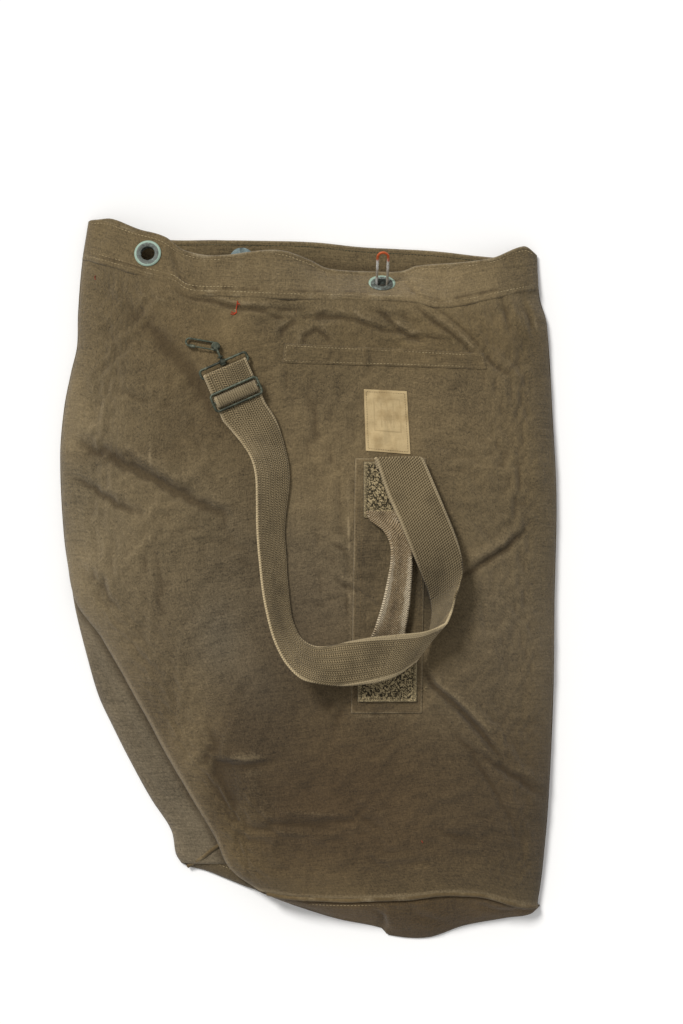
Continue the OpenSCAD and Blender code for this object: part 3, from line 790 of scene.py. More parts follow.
@dataclass
class BagShape:
    """The outlines and heights that every canvas piece is cut to, in millimetres."""

    left: Knots = ((-318, -42), (-292, -78), (-258, -95), (-196, -131), (-142, -161), (-60, -207),
                   (-20, -235), (42, -246), (123, -250), (173, -246), (209, -239), (235, -233),
                   (268, -232), (318, -228), (362, -221))
    right: Knots = ((-328, 231), (-293, 236), (-221, 242), (-110, 247), (-20, 248), (80, 250),
                    (166, 246), (259, 240), (284, 233), (327, 230))
    seam: Knots = ((-45, -313), (-20, -316), (31, -318), (99, -316), (140, -312), (175, -314),
                   (209, -324), (231, -328))
    hem: Knots = ((-228, 323), (-201, 315), (-158, 302), (-135, 296), (-119, 286), (-80, 284),
                  (-9, 281), (53, 280), (105, 278), (128, 273), (152, 275), (205, 287), (230, 293))
    rim: Knots = ((-222, 361), (-205, 361), (-175, 350), (-147, 342), (-127, 329), (-96, 323),
                  (-32, 329), (0, 320), (20, 311), (62, 309), (94, 309), (109, 314), (152, 317),
                  (187, 322), (218, 334), (231, 327))
    back_rim: Knots = ((-222, 358), (-147, 342), (-91, 341), (3, 339), (53, 334), (125, 330),
                       (194, 323), (230, 325))
    floor_edge: Knots = ((-128, -286), (-118, -290), (-105, -293), (-82, -302), (-60, -310), (-45, -317),
                         (-13, -329), (29, -342), (76, -352), (79, -358), (120, -361), (157, -349),
                         (201, -341), (225, -337), (236, -326))
    back_left: Knots = ((-286, -128), (-278, -133), (-253, -138), (-222, -158), (-178, -182),
                        (-148, -197), (-118, -211), (-77, -223), (-33, -234), (-10, -238), (42, -246),
                        (123, -250), (173, -246), (209, -239), (235, -233), (268, -232), (318, -228),
                        (362, -221))
    crest_z: Knots = ((-328, 34), (-200, 42), (0, 46), (150, 45), (285, 42))
    rim_z: Knots = ((-222, 28), (-160, 33), (-60, 31), (20, 20), (74, 11), (128, 20), (180, 28), (231, 24))
    canvas_t: float = 1.6
    foot_rise: float = 9.0

    def foot(self, x: Array, y: Array) -> Array:
        """The height of the front's edge over the floor."""
        return self.canvas_t + np.where(x < 0, self.foot_rise * ease((15 - y) / 55), 0)

    def across(self, x: Array, y: Array) -> Array:
        """Where a point lies between the left edge, -1, and the right edge, 1."""
        a, b = through(self.left, y), through(self.right, y)
        return np.clip((2 * x - a - b) / (b - a), -1, 1)

    def front(self, x: Array, y: Array) -> Array:
        """The height of the front over the floor."""
        low, high = through(self.hem, x), through(self.rim, x)
        share = ramp((y - low) / (high - low))
        crest = through(self.crest_z, np.minimum(y, 285)) * (1 - share) + through(self.rim_z, x) * share
        foot = self.foot(x, y)
        return foot + (crest - foot) * np.sqrt(np.maximum(1 - self.across(x, y) ** 4, 0))

    def grid(self, sides: tuple[Knots, Knots], low: Knots, high: Knots, cols: int, rows: int,
             reach: tuple[float, float] = (0.0, 1.0)) -> Array:
        """Points between two side curves and two cross curves.

        Args:
            sides: the left and right curves, x for each y.
            low: the lower curve, y for each x.
            high: the upper curve, y for each x.
            cols: spans across.
            rows: spans along.
            reach: the first and last row as shares of the way from low to high.

        Returns:
            An array of rows by columns by x, y.
        """
        line = np.arange(cols + 1) / cols
        u = (0.55 * line + 0.45 * (1 - np.cos(math.pi * line)) / 2)[None, :]
        v = np.linspace(reach[0], reach[1], rows + 1)[:, None]
        y0 = through(low, 90.0) * (1 - v) + through(high, 90.0) * v
        x0 = through(sides[0], y0) * (1 - u) + through(sides[1], y0) * u
        y = through(low, x0) * (1 - v) + through(high, x0) * v
        x = through(sides[0], y) * (1 - u) + through(sides[1], y) * u
        return np.stack([x, y], -1)


def one_shade(points: Array, red: int, green: int, blue: int) -> Array:
    """The same colour for every point, from display values of 0 to 255."""
    return np.broadcast_to(np.array(tone(red, green, blue)), points.shape).copy()


@dataclass
class Dyes:
    """The shades of the old canvas, from sun, soil and folds, and one painted shadow under the strap beside
    the handle.
    """

    plain: tuple = tone(100, 86, 60)
    patches: tuple[DyePatch, ...] = tuple(DyePatch(*spot, tone(*shade), strength)
                                         for *spot, shade, strength in (
        (-150, 230, 110, 90, (95, 80, 54), 0.9),
        (-215, 60, 60, 170, (113, 100, 76), 0.9),
        (-120, 110, 80, 80, (102, 88, 63), 0.6),
        (-30, 10, 110, 110, (101, 89, 68), 0.9),
        (-96, -70, 30, 46, (110, 104, 90), 0.7),
        (-50, -120, 30, 46, (100, 94, 80), 0.7),
        (0, -50, 60, 70, (92, 80, 62), 0.7),
        (-150, -60, 60, 90, (103, 90, 68), 0.7),
        (10, 130, 90, 70, (106, 91, 65), 0.7),
        (150, 170, 110, 110, (106, 91, 65), 0.8),
        (120, 245, 120, 30, (96, 81, 54), 0.8),
        (70, 300, 200, 34, (112, 97, 70), 0.7),
        (190, -60, 75, 120, (98, 86, 66), 0.8),
        (20, -215, 230, 125, (71, 57, 38), 1.0),
        (-50, -150, 70, 60, (78, 65, 46), 0.7),
        (-112, -165, 26, 100, (113, 98, 72), 0.85),
        (-74, -258, 26, 46, (102, 86, 58), 0.75),
        (205, -230, 70, 90, (70, 58, 41), 0.8),
        (150, -120, 60, 40, (90, 78, 58), 0.6),
        # Painted shadow: the dark gap under the strap, right of the handle, which reaches onto the backing's
        # edge.
        (120, -2, 13, 40, (40, 33, 21), 0.95),
        (60, 20, 16, 60, (84, 71, 50), 0.6),
        (-86, -196, 26, 50, (64, 51, 33), 0.55),
        (60, -262, 120, 22, (70, 56, 37), 0.5),
        (-110, 150, 40, 26, (84, 70, 47), 0.5),
        (-196, 124, 60, 10, (72, 58, 38), 0.4)))

    def paint(self, points: Array) -> Array:
        """The canvas's colour at each point, with the painted shadow under the strap."""
        colour = np.broadcast_to(np.array(self.plain), (*points.shape[:-1], 3)).copy()
        for patch in self.patches:
            share = patch.share(points)[..., None]
            colour = colour * (1 - share) + np.array(patch.shade) * share
        return colour


SHAPE = BagShape()
DYES = Dyes()


class Drape:
    """The finished canvas that other pieces are laid on."""

    def __init__(self, pieces: Iterable[Piece]) -> None:
        """Takes the pieces' meshes as they are now."""
        points, faces = [], []
        for piece in pieces:
            start = len(points)
            points += [v.co.copy() for v in piece.data.vertices]
            faces += [[start + i for i in p.vertices] for p in piece.data.polygons]
        self.tree = BVHTree.FromPolygons(points, faces)

    def height(self, x: float, y: float) -> float:
        """The height of the topmost canvas at x, y, all in millimetres."""
        hit = self.tree.ray_cast(Vector((x * MM, y * MM, 0.3)), Vector((0, 0, -1)))[0]
        return hit.z / MM if hit else float(SHAPE.front(np.array(x), np.array(y)))

    def lay(self, flat: Array, lift: float = 0.0) -> Array:
        """Points x, y laid on the canvas, lift above it."""
        z = np.array([self.height(p[0], p[1]) for p in flat.reshape(-1, flat.shape[-1])])
        return np.concatenate([flat[..., :2], z.reshape(flat.shape[:-1])[..., None] + lift], -1)


def sunken(grid: Array, amount: Array) -> Array:
    """The grid moved by amount along its own normals."""
    return grid + normals_of(grid) * amount[..., None]


def worn_from(relief: Array, reach: int = 3, gain: float = 0.32) -> Array:
    """Wear that follows the relief: above 0 on ridges, below 0 in valleys.

    Args:
        relief: heights on a grid.
        reach: how many cells the average round each point covers.
        gain: how strongly the difference counts.

    Returns:
        The wear at each point.
    """
    soft = relief.copy()
    for _ in range(reach * reach):
        pad = np.pad(soft, 1, mode="edge")
        soft = (pad[:-2, 1:-1] + pad[2:, 1:-1] + pad[1:-1, :-2] + pad[1:-1, 2:]) / 4
    share = (relief - soft) * gain
    return np.clip(np.where(share > 0, 0.55 * share, share), -0.5, 0.4)


@dataclass
class Slump:
    """A cloth simulation in which the front, cut a little too large, settles into soft wrinkles."""

    spare: float = 0.02
    frames: int = 28
    every: int = 3
    cap: float = 2.6
    bed_below: float = 4.5
    clearance: float = 0.001

    def run(self, grid: Array, free: Array) -> Array:
        """Simulates a coarser copy of the front and reads how far it moved.

        Args:
            grid: the front's points, in millimetres.
            free: 0 where the cloth is held and 1 where it may move.

        Returns:
            How far each point moves along the normal, in millimetres.
        """
        rows = np.unique(np.r_[0:len(grid):self.every, len(grid) - 1])
        cols = np.unique(np.r_[0:grid.shape[1]:self.every, grid.shape[1] - 1])
        coarse = grid[np.ix_(rows, cols)]
        index = np.arange(len(rows) * len(cols)).reshape(len(rows), len(cols))
        faces = np.stack([index[:-1, :-1], index[:-1, 1:], index[1:, 1:], index[1:, :-1]], -1).reshape(-1, 4)
        under = new_piece("under", (coarse - [0, 0, self.bed_below]).reshape(-1, 3), faces)
        under.modifiers.new("hard", "COLLISION")
        under.collision.thickness_outer = self.clearance
        cloth = new_piece("cloth", coarse.reshape(-1, 3), faces)
        held = cloth.vertex_groups.new(name="held")
        for i, share in enumerate(1 - free[np.ix_(rows, cols)].ravel()):
            if share > 0.02:
                held.add([i], float(share), "REPLACE")
        settings = cloth.modifiers.new("cloth", "CLOTH").settings
        settings.quality = 7
        settings.mass = 0.25
        settings.tension_stiffness = settings.compression_stiffness = 12
        settings.shear_stiffness = 6
        settings.bending_stiffness = 0.35
        settings.shrink_min = -self.spare
        settings.vertex_group_mass = "held"
        settings.pin_stiffness = 8
        cloth.modifiers["cloth"].collision_settings.distance_min = self.clearance
        start = np.array([v.co for v in cloth.data.vertices])
        for frame_number in range(1, self.frames + 1):
            bpy.context.scene.frame_set(frame_number)
        graph = bpy.context.evaluated_depsgraph_get()
        moved = np.array([v.co for v in cloth.evaluated_get(graph).data.vertices])
        bpy.context.scene.frame_set(1)
        for thing in (cloth, under):
            bpy.data.objects.remove(thing)
        shift = ((moved - start) / MM).reshape(coarse.shape)
        shift = np.sum(shift * normals_of(coarse), axis=2)
        shift = self.cap * np.tanh((shift - np.median(shift)) / self.cap)
        log.info("cloth moved by %.2f to %.2f mm", shift.min(), shift.max())
        wide = np.stack([np.interp(np.arange(grid.shape[1]), cols, row) for row in shift])
        full = np.stack([np.interp(np.arange(len(grid)), rows, wide[:, i]) for i in range(wide.shape[1])], 1)
        return full * free


def pierce(piece: Piece, centre: Vector, axis: Vector, radius: float) -> None:
    """Cuts a round hole through a closed piece.

    Args:
        piece: the piece.
        centre: a point on the hole's axis, in metres.
        axis: the hole's direction.
        radius: its radius in millimetres.
    """
    sides, reach = 40, 12
    turn = axis.to_track_quat("Z", "Y").to_matrix().to_4x4()
    ring = [(radius * math.cos(2 * math.pi * i / sides), radius * math.sin(2 * math.pi * i / sides))
            for i in range(sides)]
    points = [(x, y, z) for z in (-reach, reach) for x, y in ring]
    cutter = new_piece("cutter", np.array(points), ring_faces(2, sides))
    cutter.data.transform(Matrix.Translation(centre) @ turn)
    cut = piece.modifiers.new("hole", "BOOLEAN")
    cut.operation = "DIFFERENCE"
    cut.object = cutter
    settle(piece)
    bpy.data.objects.remove(cutter)


def settle(piece: Piece) -> None:
    """Applies the piece's modifiers to its mesh."""
    bpy.context.view_layer.update()
    graph = bpy.context.evaluated_depsgraph_get()
    done = bpy.data.meshes.new_from_object(piece.evaluated_get(graph), preserve_all_data_layers=True,
                                           depsgraph=graph)
    piece.modifiers.clear()
    piece.data = done


def join_body(piece: Piece, body: str, finish: Material, slot: str,
              *nodes: str) -> Piece:
    """Dresses a piece and ties it to its body.

    Args:
        piece: the piece.
        body: the body that it rides on.
        finish: its material.
        slot: not used.
        nodes: the CAD nodes that it stands for.

    Returns:
        The piece.
    """
    piece.data.materials.clear()
    piece.data.materials.append(finish)
    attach(piece, body)
    if nodes:
        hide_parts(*nodes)
    log.info("%s rides on %s", piece.name, body)
    return piece


@dataclass
class Stitches:
    """A row of separate stitches along a path that lies on the cloth."""

    name: str
    length: float = 2.6
    gap: float = 1.0
    radius: float = 0.32
    sink: float = 0.05

    def build(self, paths: Sequence[Array]) -> Piece:
        """Makes one piece of all the stitches along paths of x, y, z in millimetres."""
        points, faces = [], []
        step = self.length + self.gap
        share = np.array([-0.5, -0.42, -0.2, 0.2, 0.42, 0.5])
        swell = np.array([0.25, 0.75, 1.0, 1.0, 0.75, 0.25])
        dip = np.array([-0.5, -0.15, 0.0, 0.0, -0.15, -0.5]) * self.radius
        for path in paths:
            marks = even(path, step)
            for i in range(len(marks) - 1):
                a, b = marks[i], marks[i + 1]
                run = b - a
                size = float(np.linalg.norm(run))
                if size < 1e-6:
                    continue
                run = run / size
                side = np.cross([0, 0, 1.0], run)
                side /= max(float(np.linalg.norm(side)), 1e-6)
                rise = np.cross(run, side)
                middle = (a + b) / 2 - rise * self.sink
                start = len(points)
                for s, w, d in zip(share, swell, dip):
                    core = middle + run * s * self.length * size / step + rise * d
                    for k in range(6):
                        angle = math.pi * k / 3
                        points.append(core + self.radius * w * (side * math.cos(angle)
                                                                + rise * math.sin(angle)))
                faces += ring_faces(len(share), 6, start)
        return new_piece(self.name, np.array(points), faces)


# ---------------------------------------------------------------- canvas pieces

@dataclass
class Canvas:
    """The tube and bottom of the bag, with the welt of its bottom seam."""

    finish: Material
    hem_finish: Material
    cols: int = 240
    rows: int = 280
    inner: float = -1.2
    hem_overlap: float = 0.015
    crease_gain: float = 1.6
    back_hole_r: float = 13.7
    back_t: float = 1.6
    fold_from: float = -286.0
    fold_to: float = -6.0
    fold_tucked: float = 12.0
    fold_low: float = 2.4
    fold_rise: float = 6.6
    bottom_left: float = -43.0
    bottom_right: float = 233.0
    welt_r: float = 2.3
    tallest: float = 2.2
    under_floor: float = 1.65
    creases: tuple[Crease, ...] = tuple(Crease(*row) for row in (
        (((-240, 141), (-205, 127), (-171, 110), (-136, 92), (-103, 74), (-72, 60)), 8, 3.6),
        (((-246, 108), (-215, 92), (-190, 75), (-160, 64)), 6, 2.0),
        (((-200, 286), (-165, 259), (-138, 232), (-118, 208), (-96, 174), (-74, 134)), 13, 3.6, 0.35),
        (((-150, 300), (-120, 282), (-96, 278), (-68, 271), (-33, 270), (17, 268)), 3.2, 1.7),
        (((-8, 226), (-3, 243), (8, 250), (20, 242), (23, 224)), 3.0, 1.3, 0.9),
        (((-28, 236), (-26, 249), (-14, 258), (-4, 254)), 3.0, 1.2, 0.8),
        (((-10, 248), (14, 262), (34, 262), (60, 256)), 3.4, 1.3),
        (((72, 268), (88, 252), (102, 243), (118, 238)), 2.6, 1.7, 0.9),
        (((98, 282), (118, 264), (138, 250), (156, 236), (172, 216)), 2.6, 1.5, 0.8),
        (((112, 280), (136, 266), (160, 246), (176, 228)), 2.4, 0.8, 0.8),
        (((36, 274), (52, 258), (74, 250), (96, 246)), 2.4, 1.1, 0.9),
        (((-60, 272), (-30, 262), (2, 262), (30, 270)), 2.4, 1.1, 0.8),
        (((84, 236), (110, 244), (140, 240), (150, 226)), 2.2, 0.9, 0.8),
        (((20, 214), (26, 228), (24, 240)), 2.4, 0.9, 0.9),
        (((60, 208), (64, 222), (60, 238)), 2.6, 0.8, 0.9),
        (((-200, 196), (-168, 180), (-130, 172)), 5, 0.8, 0.6),
        (((60, 272), (84, 262), (100, 262)), 3.0, 1.0),
        (((190, 290), (198, 268), (203, 246)), 4.2, 1.3),
        (((214, 284), (222, 262), (226, 240)), 3.6, 1.3),
        (((176, 226), (186, 214), (200, 206)), 3.5, 1.1),
        (((146, 0), (170, 14), (196, 30), (224, 56)), 4.5, 2.4, 0.7),
        (((112, -80), (124, -103), (148, -124), (174, -152), (200, -188)), 4.2, 3.4, 0.8),
        (((24, 6), (38, -6), (54, -12), (70, -28)), 3.0, 1.2, 0.8),
        (((20, 40), (36, 30), (40, 16)), 2.6, 1.0, 0.8),
        (((34, 62), (41, 30), (40, -20), (44, -80)), 2.4, 0.9, 0.4),
        (((-10, -96), (10, -112), (28, -132), (38, -160)), 12, 1.8, 0.3),
        (((-96, -180), (-62, -186), (-30, -180)), 4.5, 1.6, 0.35),
        (((156, -160), (184, -182), (212, -200), (242, -222)), 4.5, 1.7, 0.8),
        (((128, -130), (160, -168), (190, -215), (212, -262)), 5.0, 1.3, 0.7),
        (((-104, -130), (-92, -180), (-76, -230), (-52, -268)), 15, 3.2, 0.35),
        (((-202, -60), (-178, -105), (-150, -155), (-118, -215), (-90, -268)), 5.5, -1.6, 0.2),
        (((-60, -252), (-30, -240), (10, -246), (50, -238)), 7, 1.2),
        (((20, -200), (44, -222), (70, -250), (84, -280)), 7, 1.2),
        (((120, -240), (146, -256), (176, -262)), 6, 1.1),
        (((-170, 40), (-150, 0), (-140, -40)), 14, 1.2, 0.3),
        (((-238, 20), (-210, -4), (-190, -34)), 8, 1.2, 0.5),
        (((-90, 60), (-60, 20), (-20, -4)), 16, 1.3, 0.3),
        (((180, 150), (205, 110), (215, 60)), 14, 1.3, 0.3),
        (((-5, 205), (10, 160), (4, 110)), 14, 1.0, 0.3)))

    def relief(self, grid: Array) -> Array:
        """How far the front stands out from its plain shape, in millimetres."""
        flat = np.concatenate([grid[..., :2], np.zeros_like(grid[..., :1])], -1)
        height = self.crease_gain * sum(c.height(flat) for c in self.creases)
        height = height + 2.8 * clouds(flat, 130, 3.0, 2) + 1.5 * clouds(flat, 40, 9.0, 3)
        height = height + 0.45 * clouds(flat, 14, 21.0, 2)
        edge = 1 - np.abs(SHAPE.across(grid[..., 0], grid[..., 1]))
        height = height * (0.25 + 0.75 * ease(edge / 0.10))
        return np.minimum(height, self.tallest)

    def calm(self, grid: Array) -> Array:
        """How little the canvas may rise where hardware and webbing lie on it, 0 to 1."""
        loads = (((-90, 232), (-80, 200), (-66, 175), (-42, 140), (-36, 60), (-30, -40), (-8, -78), (40, -80),
                  (100, -66)), ((-125, 240), (-88, 234)), ((92, 118), (120, 60), (133, 0), (110, -60)))
        keep = np.ones(grid.shape[:-1])
        for path in loads:
            gap, _ = bent_round(grid, path)
            keep = np.minimum(keep, ease((np.abs(gap) - 20) / 26))
        return keep

    def build_front(self) -> Piece:
        """The front of the tube, creased and worn, with painted shade and light along its creases."""
        flat = SHAPE.grid((SHAPE.left, SHAPE.right), SHAPE.seam, SHAPE.hem, self.cols, self.rows,
                          (0.0, 1.0 + self.hem_overlap))
        grid = np.concatenate([flat, SHAPE.front(flat[..., 0], flat[..., 1])[..., None]], -1)
        height = self.relief(grid)
        keep = self.calm(grid)
        height = np.where(height > 0.3, height * (0.25 + 0.75 * keep), height)
        near_hem = ease((through(SHAPE.hem, flat[..., 0]) + 2 - flat[..., 1]) / 8)
        height = height * (0.2 + 0.8 * near_hem)
        near_seam = flat[..., 1] - through(SHAPE.seam, flat[..., 0])
        height = height * ease(near_seam / 16 + 0.15)
        edge = 1 - np.abs(SHAPE.across(flat[..., 0], flat[..., 1]))
        free = ease(near_seam / 30) * ease((through(SHAPE.hem, flat[..., 0]) - flat[..., 1]) / 16)
        free = free * ease(edge / 0.16) * (0.15 + 0.85 * keep)
        height = height + np.minimum(Slump().run(sunken(grid, height), free), 1.4)
        grid = sunken(grid, height)
        wear_and_painted_shading = worn_from(height) + 0.55 * bell(near_seam, 0, 4.0)
        patchy = 0.6 + 1.2 * clouds(grid, 16, 17.0, 2)
        # Pale lines on the ridges of narrow creases: partly rubbed wear, partly a painted highlight.
        wear_and_painted_shading = wear_and_painted_shading + 0.6 * patchy * sum(c.crest(flat) for c in self.creases if c.width < 4)
        # Painted shade in every crease valley and painted light on its bank, added to the wear.
        wear_and_painted_shading = wear_and_painted_shading + 0.5 * sum(c.shade(flat) for c in self.creases)
        # Pale band along the front's lower left fold edge: partly rubbed wear, partly a painted highlight on
        # the lit edge.
        from_left = flat[..., 0] - through(SHAPE.left, flat[..., 1])
        low_left = ease((-20 - flat[..., 1]) / 60)
        wear_and_painted_shading = wear_and_painted_shading + (0.42 * bell(from_left, 2.5, 3.0) + 0.16 * bell(from_left, 16, 13)) * low_left
        wear_and_painted_shading = wear_and_painted_shading + self.old_folds(flat)
        sheet = Sheet(grid, self.inner, 0.0, floor=1.7)
        return sheet.build("front_canvas", {"wear_and_painted_shading": wear_and_painted_shading, "dye_and_painted_shadow": DYES.paint(grid)})

    def old_folds(self, flat: Array) -> Array:
        """Pale lines where the canvas was once folded or rubbed over a seam inside."""
        lines = ((((-158, 272), (-157, 120), (-158, -120)), 1.6, 0.34),
                 (((41, 110), (40, 40), (42, -60), (43, -128)), 1.4, 0.75),
                 (((40, -134), (70, -136), (112, -134)), 2.0, 0.35),
                 (((112, -60), (124, -100), (150, -122)), 2.4, 0.35),
                 (((-228, 300), (-180, 288), (-130, 276)), 2.0, 0.2))
        total = np.zeros(flat.shape[:-1])
        for path, width, strength in lines:
            gap, along = bent_round(flat, path)
            ends = np.sin(math.pi * np.clip(along, 0.02, 0.98)) ** 0.5
            total += strength * ends * bell(gap, 0, width)
        return total

    def build_back(self) -> Piece:
        """The back of the tube, flat on the floor."""
        flat = SHAPE.grid((SHAPE.back_left, SHAPE.right), SHAPE.floor_edge, SHAPE.back_rim, 120, 150)
        ripple = 0.25 * clouds(np.concatenate([flat, 0 * flat[..., :1]], -1), 40, 5.0, 2)
        grid = np.concatenate([flat, self.back_t / 2 + 0 * flat[..., :1]], -1)
        piece = Sheet(grid, -self.back_t / 2, self.back_t / 2, floor=0.0).build(
            "back_canvas", {"wear_and_painted_shading": ripple, "dye_and_painted_shadow": DYES.paint(grid) * 0.92})
        for node in ("eyelet_back_left", "eyelet_back_right"):
            low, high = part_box(node)
            pierce(piece, (low + high) / 2, Vector((0, 0, 1)), self.back_hole_r)
        return piece

    def build_tuck(self) -> Piece:
        """The loose fold of the tube that shows past the front at the lower left."""
        rows, cols = 90, 26
        ys = np.linspace(self.fold_from, self.fold_to, rows + 1)
        outer = through(SHAPE.back_left, ys)
        inner = through(SHAPE.left, ys) + self.fold_tucked
        u = np.linspace(0, 1, cols + 1)[None, :]
        x = outer[:, None] * (1 - u) + inner[:, None] * u
        y = np.broadcast_to(ys[:, None], x.shape)
        from_edge = x - outer[:, None]
        z = self.fold_low + self.fold_rise * (1 - np.exp(-from_edge / 6.0))
        points = np.stack([x, y, z], -1)
        height = 0.9 * clouds(points, 60, 31.0, 2) + 0.25 * clouds(points, 16, 37.0, 2)
        for c in (Crease(((-236, -40), (-206, -96), (-176, -150), (-140, -200)), 5, 1.2, 0.6),
                  Crease(((-200, -150), (-170, -190), (-130, -236), (-104, -262)), 4, 0.9, 0.6)):
            height = height + c.height(points)
        height = np.clip(height * ease(from_edge / 8), -2.0, 0.8)
        grid = points + height[..., None] * np.array([0, 0, 1.0])
        # Painted shadow: the tuck is darkened where the front's edge overhangs it.
        behind = through(SHAPE.left, y) - x
        wear_and_painted_shading = worn_from(height) + 0.25 * bell(from_edge, 0, 2.0) - 0.5 * bell(behind, 0, 7.0)
        dye_and_painted_shadow = one_shade(grid, 106, 95, 76)
        sheet = Sheet(grid, -1.0, 0.3, floor=self.under_floor)
        return sheet.build("side_tuck_canvas", {"wear_and_painted_shading": wear_and_painted_shading, "dye_and_painted_shadow": dye_and_painted_shadow})

    def build_bottom(self) -> Piece:
        """The bottom of the bag, sloping from the seam to the floor."""
        xs = np.linspace(self.bottom_left, self.bottom_right, 130)
        t = np.linspace(0, 1, 34)[:, None]
        top = through(SHAPE.seam, xs) - 1.5
        low = through(SHAPE.floor_edge, xs) + 0.6
        y = top * (1 - t) + low * t
        x = np.broadcast_to(xs, y.shape)
        start = SHAPE.front(xs, top + 1.5) - 3.0
        fall = 0.35 * t + 0.65 * t * t
        z = start * (1 - fall) + self.fold_low * fall
        points = np.stack([x, y, z], -1)
        height = 1.1 * clouds(points, 46, 41.0, 3) + 0.3 * clouds(points, 12, 43.0, 2)
        down = top - y
        height = height + 1.2 * bell(down, 6, 4.0) * (x < 120)
        for c in (Crease(((60, -322), (76, -338), (80, -358)), 3, 1.2, 0.7),
                  Crease(((96, -320), (110, -336), (140, -346)), 4, 1.2, 0.5),
                  Crease(((160, -322), (190, -332), (222, -334)), 3.5, 1.4, 0.6),
                  Crease(((206, -328), (216, -334), (230, -332)), 2.2, 1.2, 0.8)):
            height = height + c.height(points)
        height = np.clip(height * ease(t * 8) * ease((1 - t) * 5), -2.5, 1.6)
        grid = sunken(points, -height)
        # Painted shadow: darker in a narrow band just below the seam, under the welt.
        wear_and_painted_shading = worn_from(height) - 0.9 * bell(down, 1.5, 2.6)
        dye_and_painted_shadow = one_shade(grid, 86, 69, 44)
        sheet = Sheet(grid[::-1], -1.0, 0.4, floor=self.under_floor)
        return sheet.build("bottom_canvas", {"wear_and_painted_shading": wear_and_painted_shading[::-1], "dye_and_painted_shadow": dye_and_painted_shadow})

    def build_wing(self) -> Piece:
        """The corner of the bottom that shows past the fold."""
        cols = 16
        a = spline(((-119, -290), (-104, -293), (-82, -302), (-62, -310), (-46, -315)), 6)
        b = spline(((-91, -268), (-84, -276), (-72, -290), (-60, -302), (-44, -310)), 6)
        v = np.linspace(0, 1, cols + 1)[:, None, None]
        flat = a[None] * (1 - v) + b[None] * v
        z = 2.4 + 5.4 * (1 - np.exp(-v[..., 0] * 5)) + 0 * flat[..., 0]
        points = np.concatenate([flat, z[..., None]], -1)
        height = 0.4 * clouds(points, 20, 51.0, 2)
        grid = points + height[..., None] * np.array([0, 0, 1.0])
        dye_and_painted_shadow = one_shade(grid, 86, 74, 54)
        sheet = Sheet(grid, -1.0, 0.4, floor=self.under_floor)
        return sheet.build("bottom_corner", {"wear_and_painted_shading": 0 * height, "dye_and_painted_shadow": dye_and_painted_shadow})

    def build_welt(self) -> Piece:
        """The rolled edge of the bottom seam, round the front and at the corner behind the fold."""
        xs = np.linspace(self.bottom_left + 2, self.bottom_right - 2, 200)
        y = through(SHAPE.seam, xs) - 1.6
        z = SHAPE.front(xs, y + 1.6) - 1.3
        path = np.stack([xs, y + 0.5 * np.sin(xs / 9.0) * 0.4, z], 1)
        rings = tube_points(path, self.welt_r, 12, 0.8)
        wobble = clouds(rings, 12, 61.0, 2)
        rings = rings + wobble[..., None] * np.array([0, 0.25, 0.25])
        points, faces = rings.reshape(-1, 3), ring_faces(len(path), 12)
        corner = spline(((-122, -289.5, 4), (-108, -281, 8.4), (-98, -273, 9.4), (-88, -266, 9.6)), 10)
        rings = tube_points(corner, 2.0, 10, 0.8)
        start = len(points)
        points = np.vstack([points, rings.reshape(-1, 3)])
        faces += ring_faces(len(corner), 10, start)
        piece = new_piece("bottom_seam_welt_canvas", points, faces)
        add_values(piece, "wear_and_painted_shading", 0.2 + 0.35 * clouds(points, 18, 63.0, 2))
        add_colours(piece, "dye_and_painted_shadow", one_shade(points, 92, 77, 52))
        return piece

    def make(self) -> tuple[Piece, ...]:
        """Builds, dresses and mounts every canvas piece, and returns the front and the bottom."""
        front = self.build_front()
        join_body(front, "bag", self.finish, "canvas", "canvas_front")
        join_body(self.build_back(), "bag", self.finish, "canvas", "canvas_back")
        join_body(self.build_tuck(), "bag", self.finish, "canvas", "canvas_side_tuck")
        bottom = self.build_bottom()
        join_body(bottom, "bag", self.finish, "canvas", "canvas_bottom")
        join_body(self.build_wing(), "bag", self.finish, "canvas")
        join_body(self.build_welt(), "bag", self.hem_finish, "hem_canvas", "bottom_seam_welt")
        return front, bottom


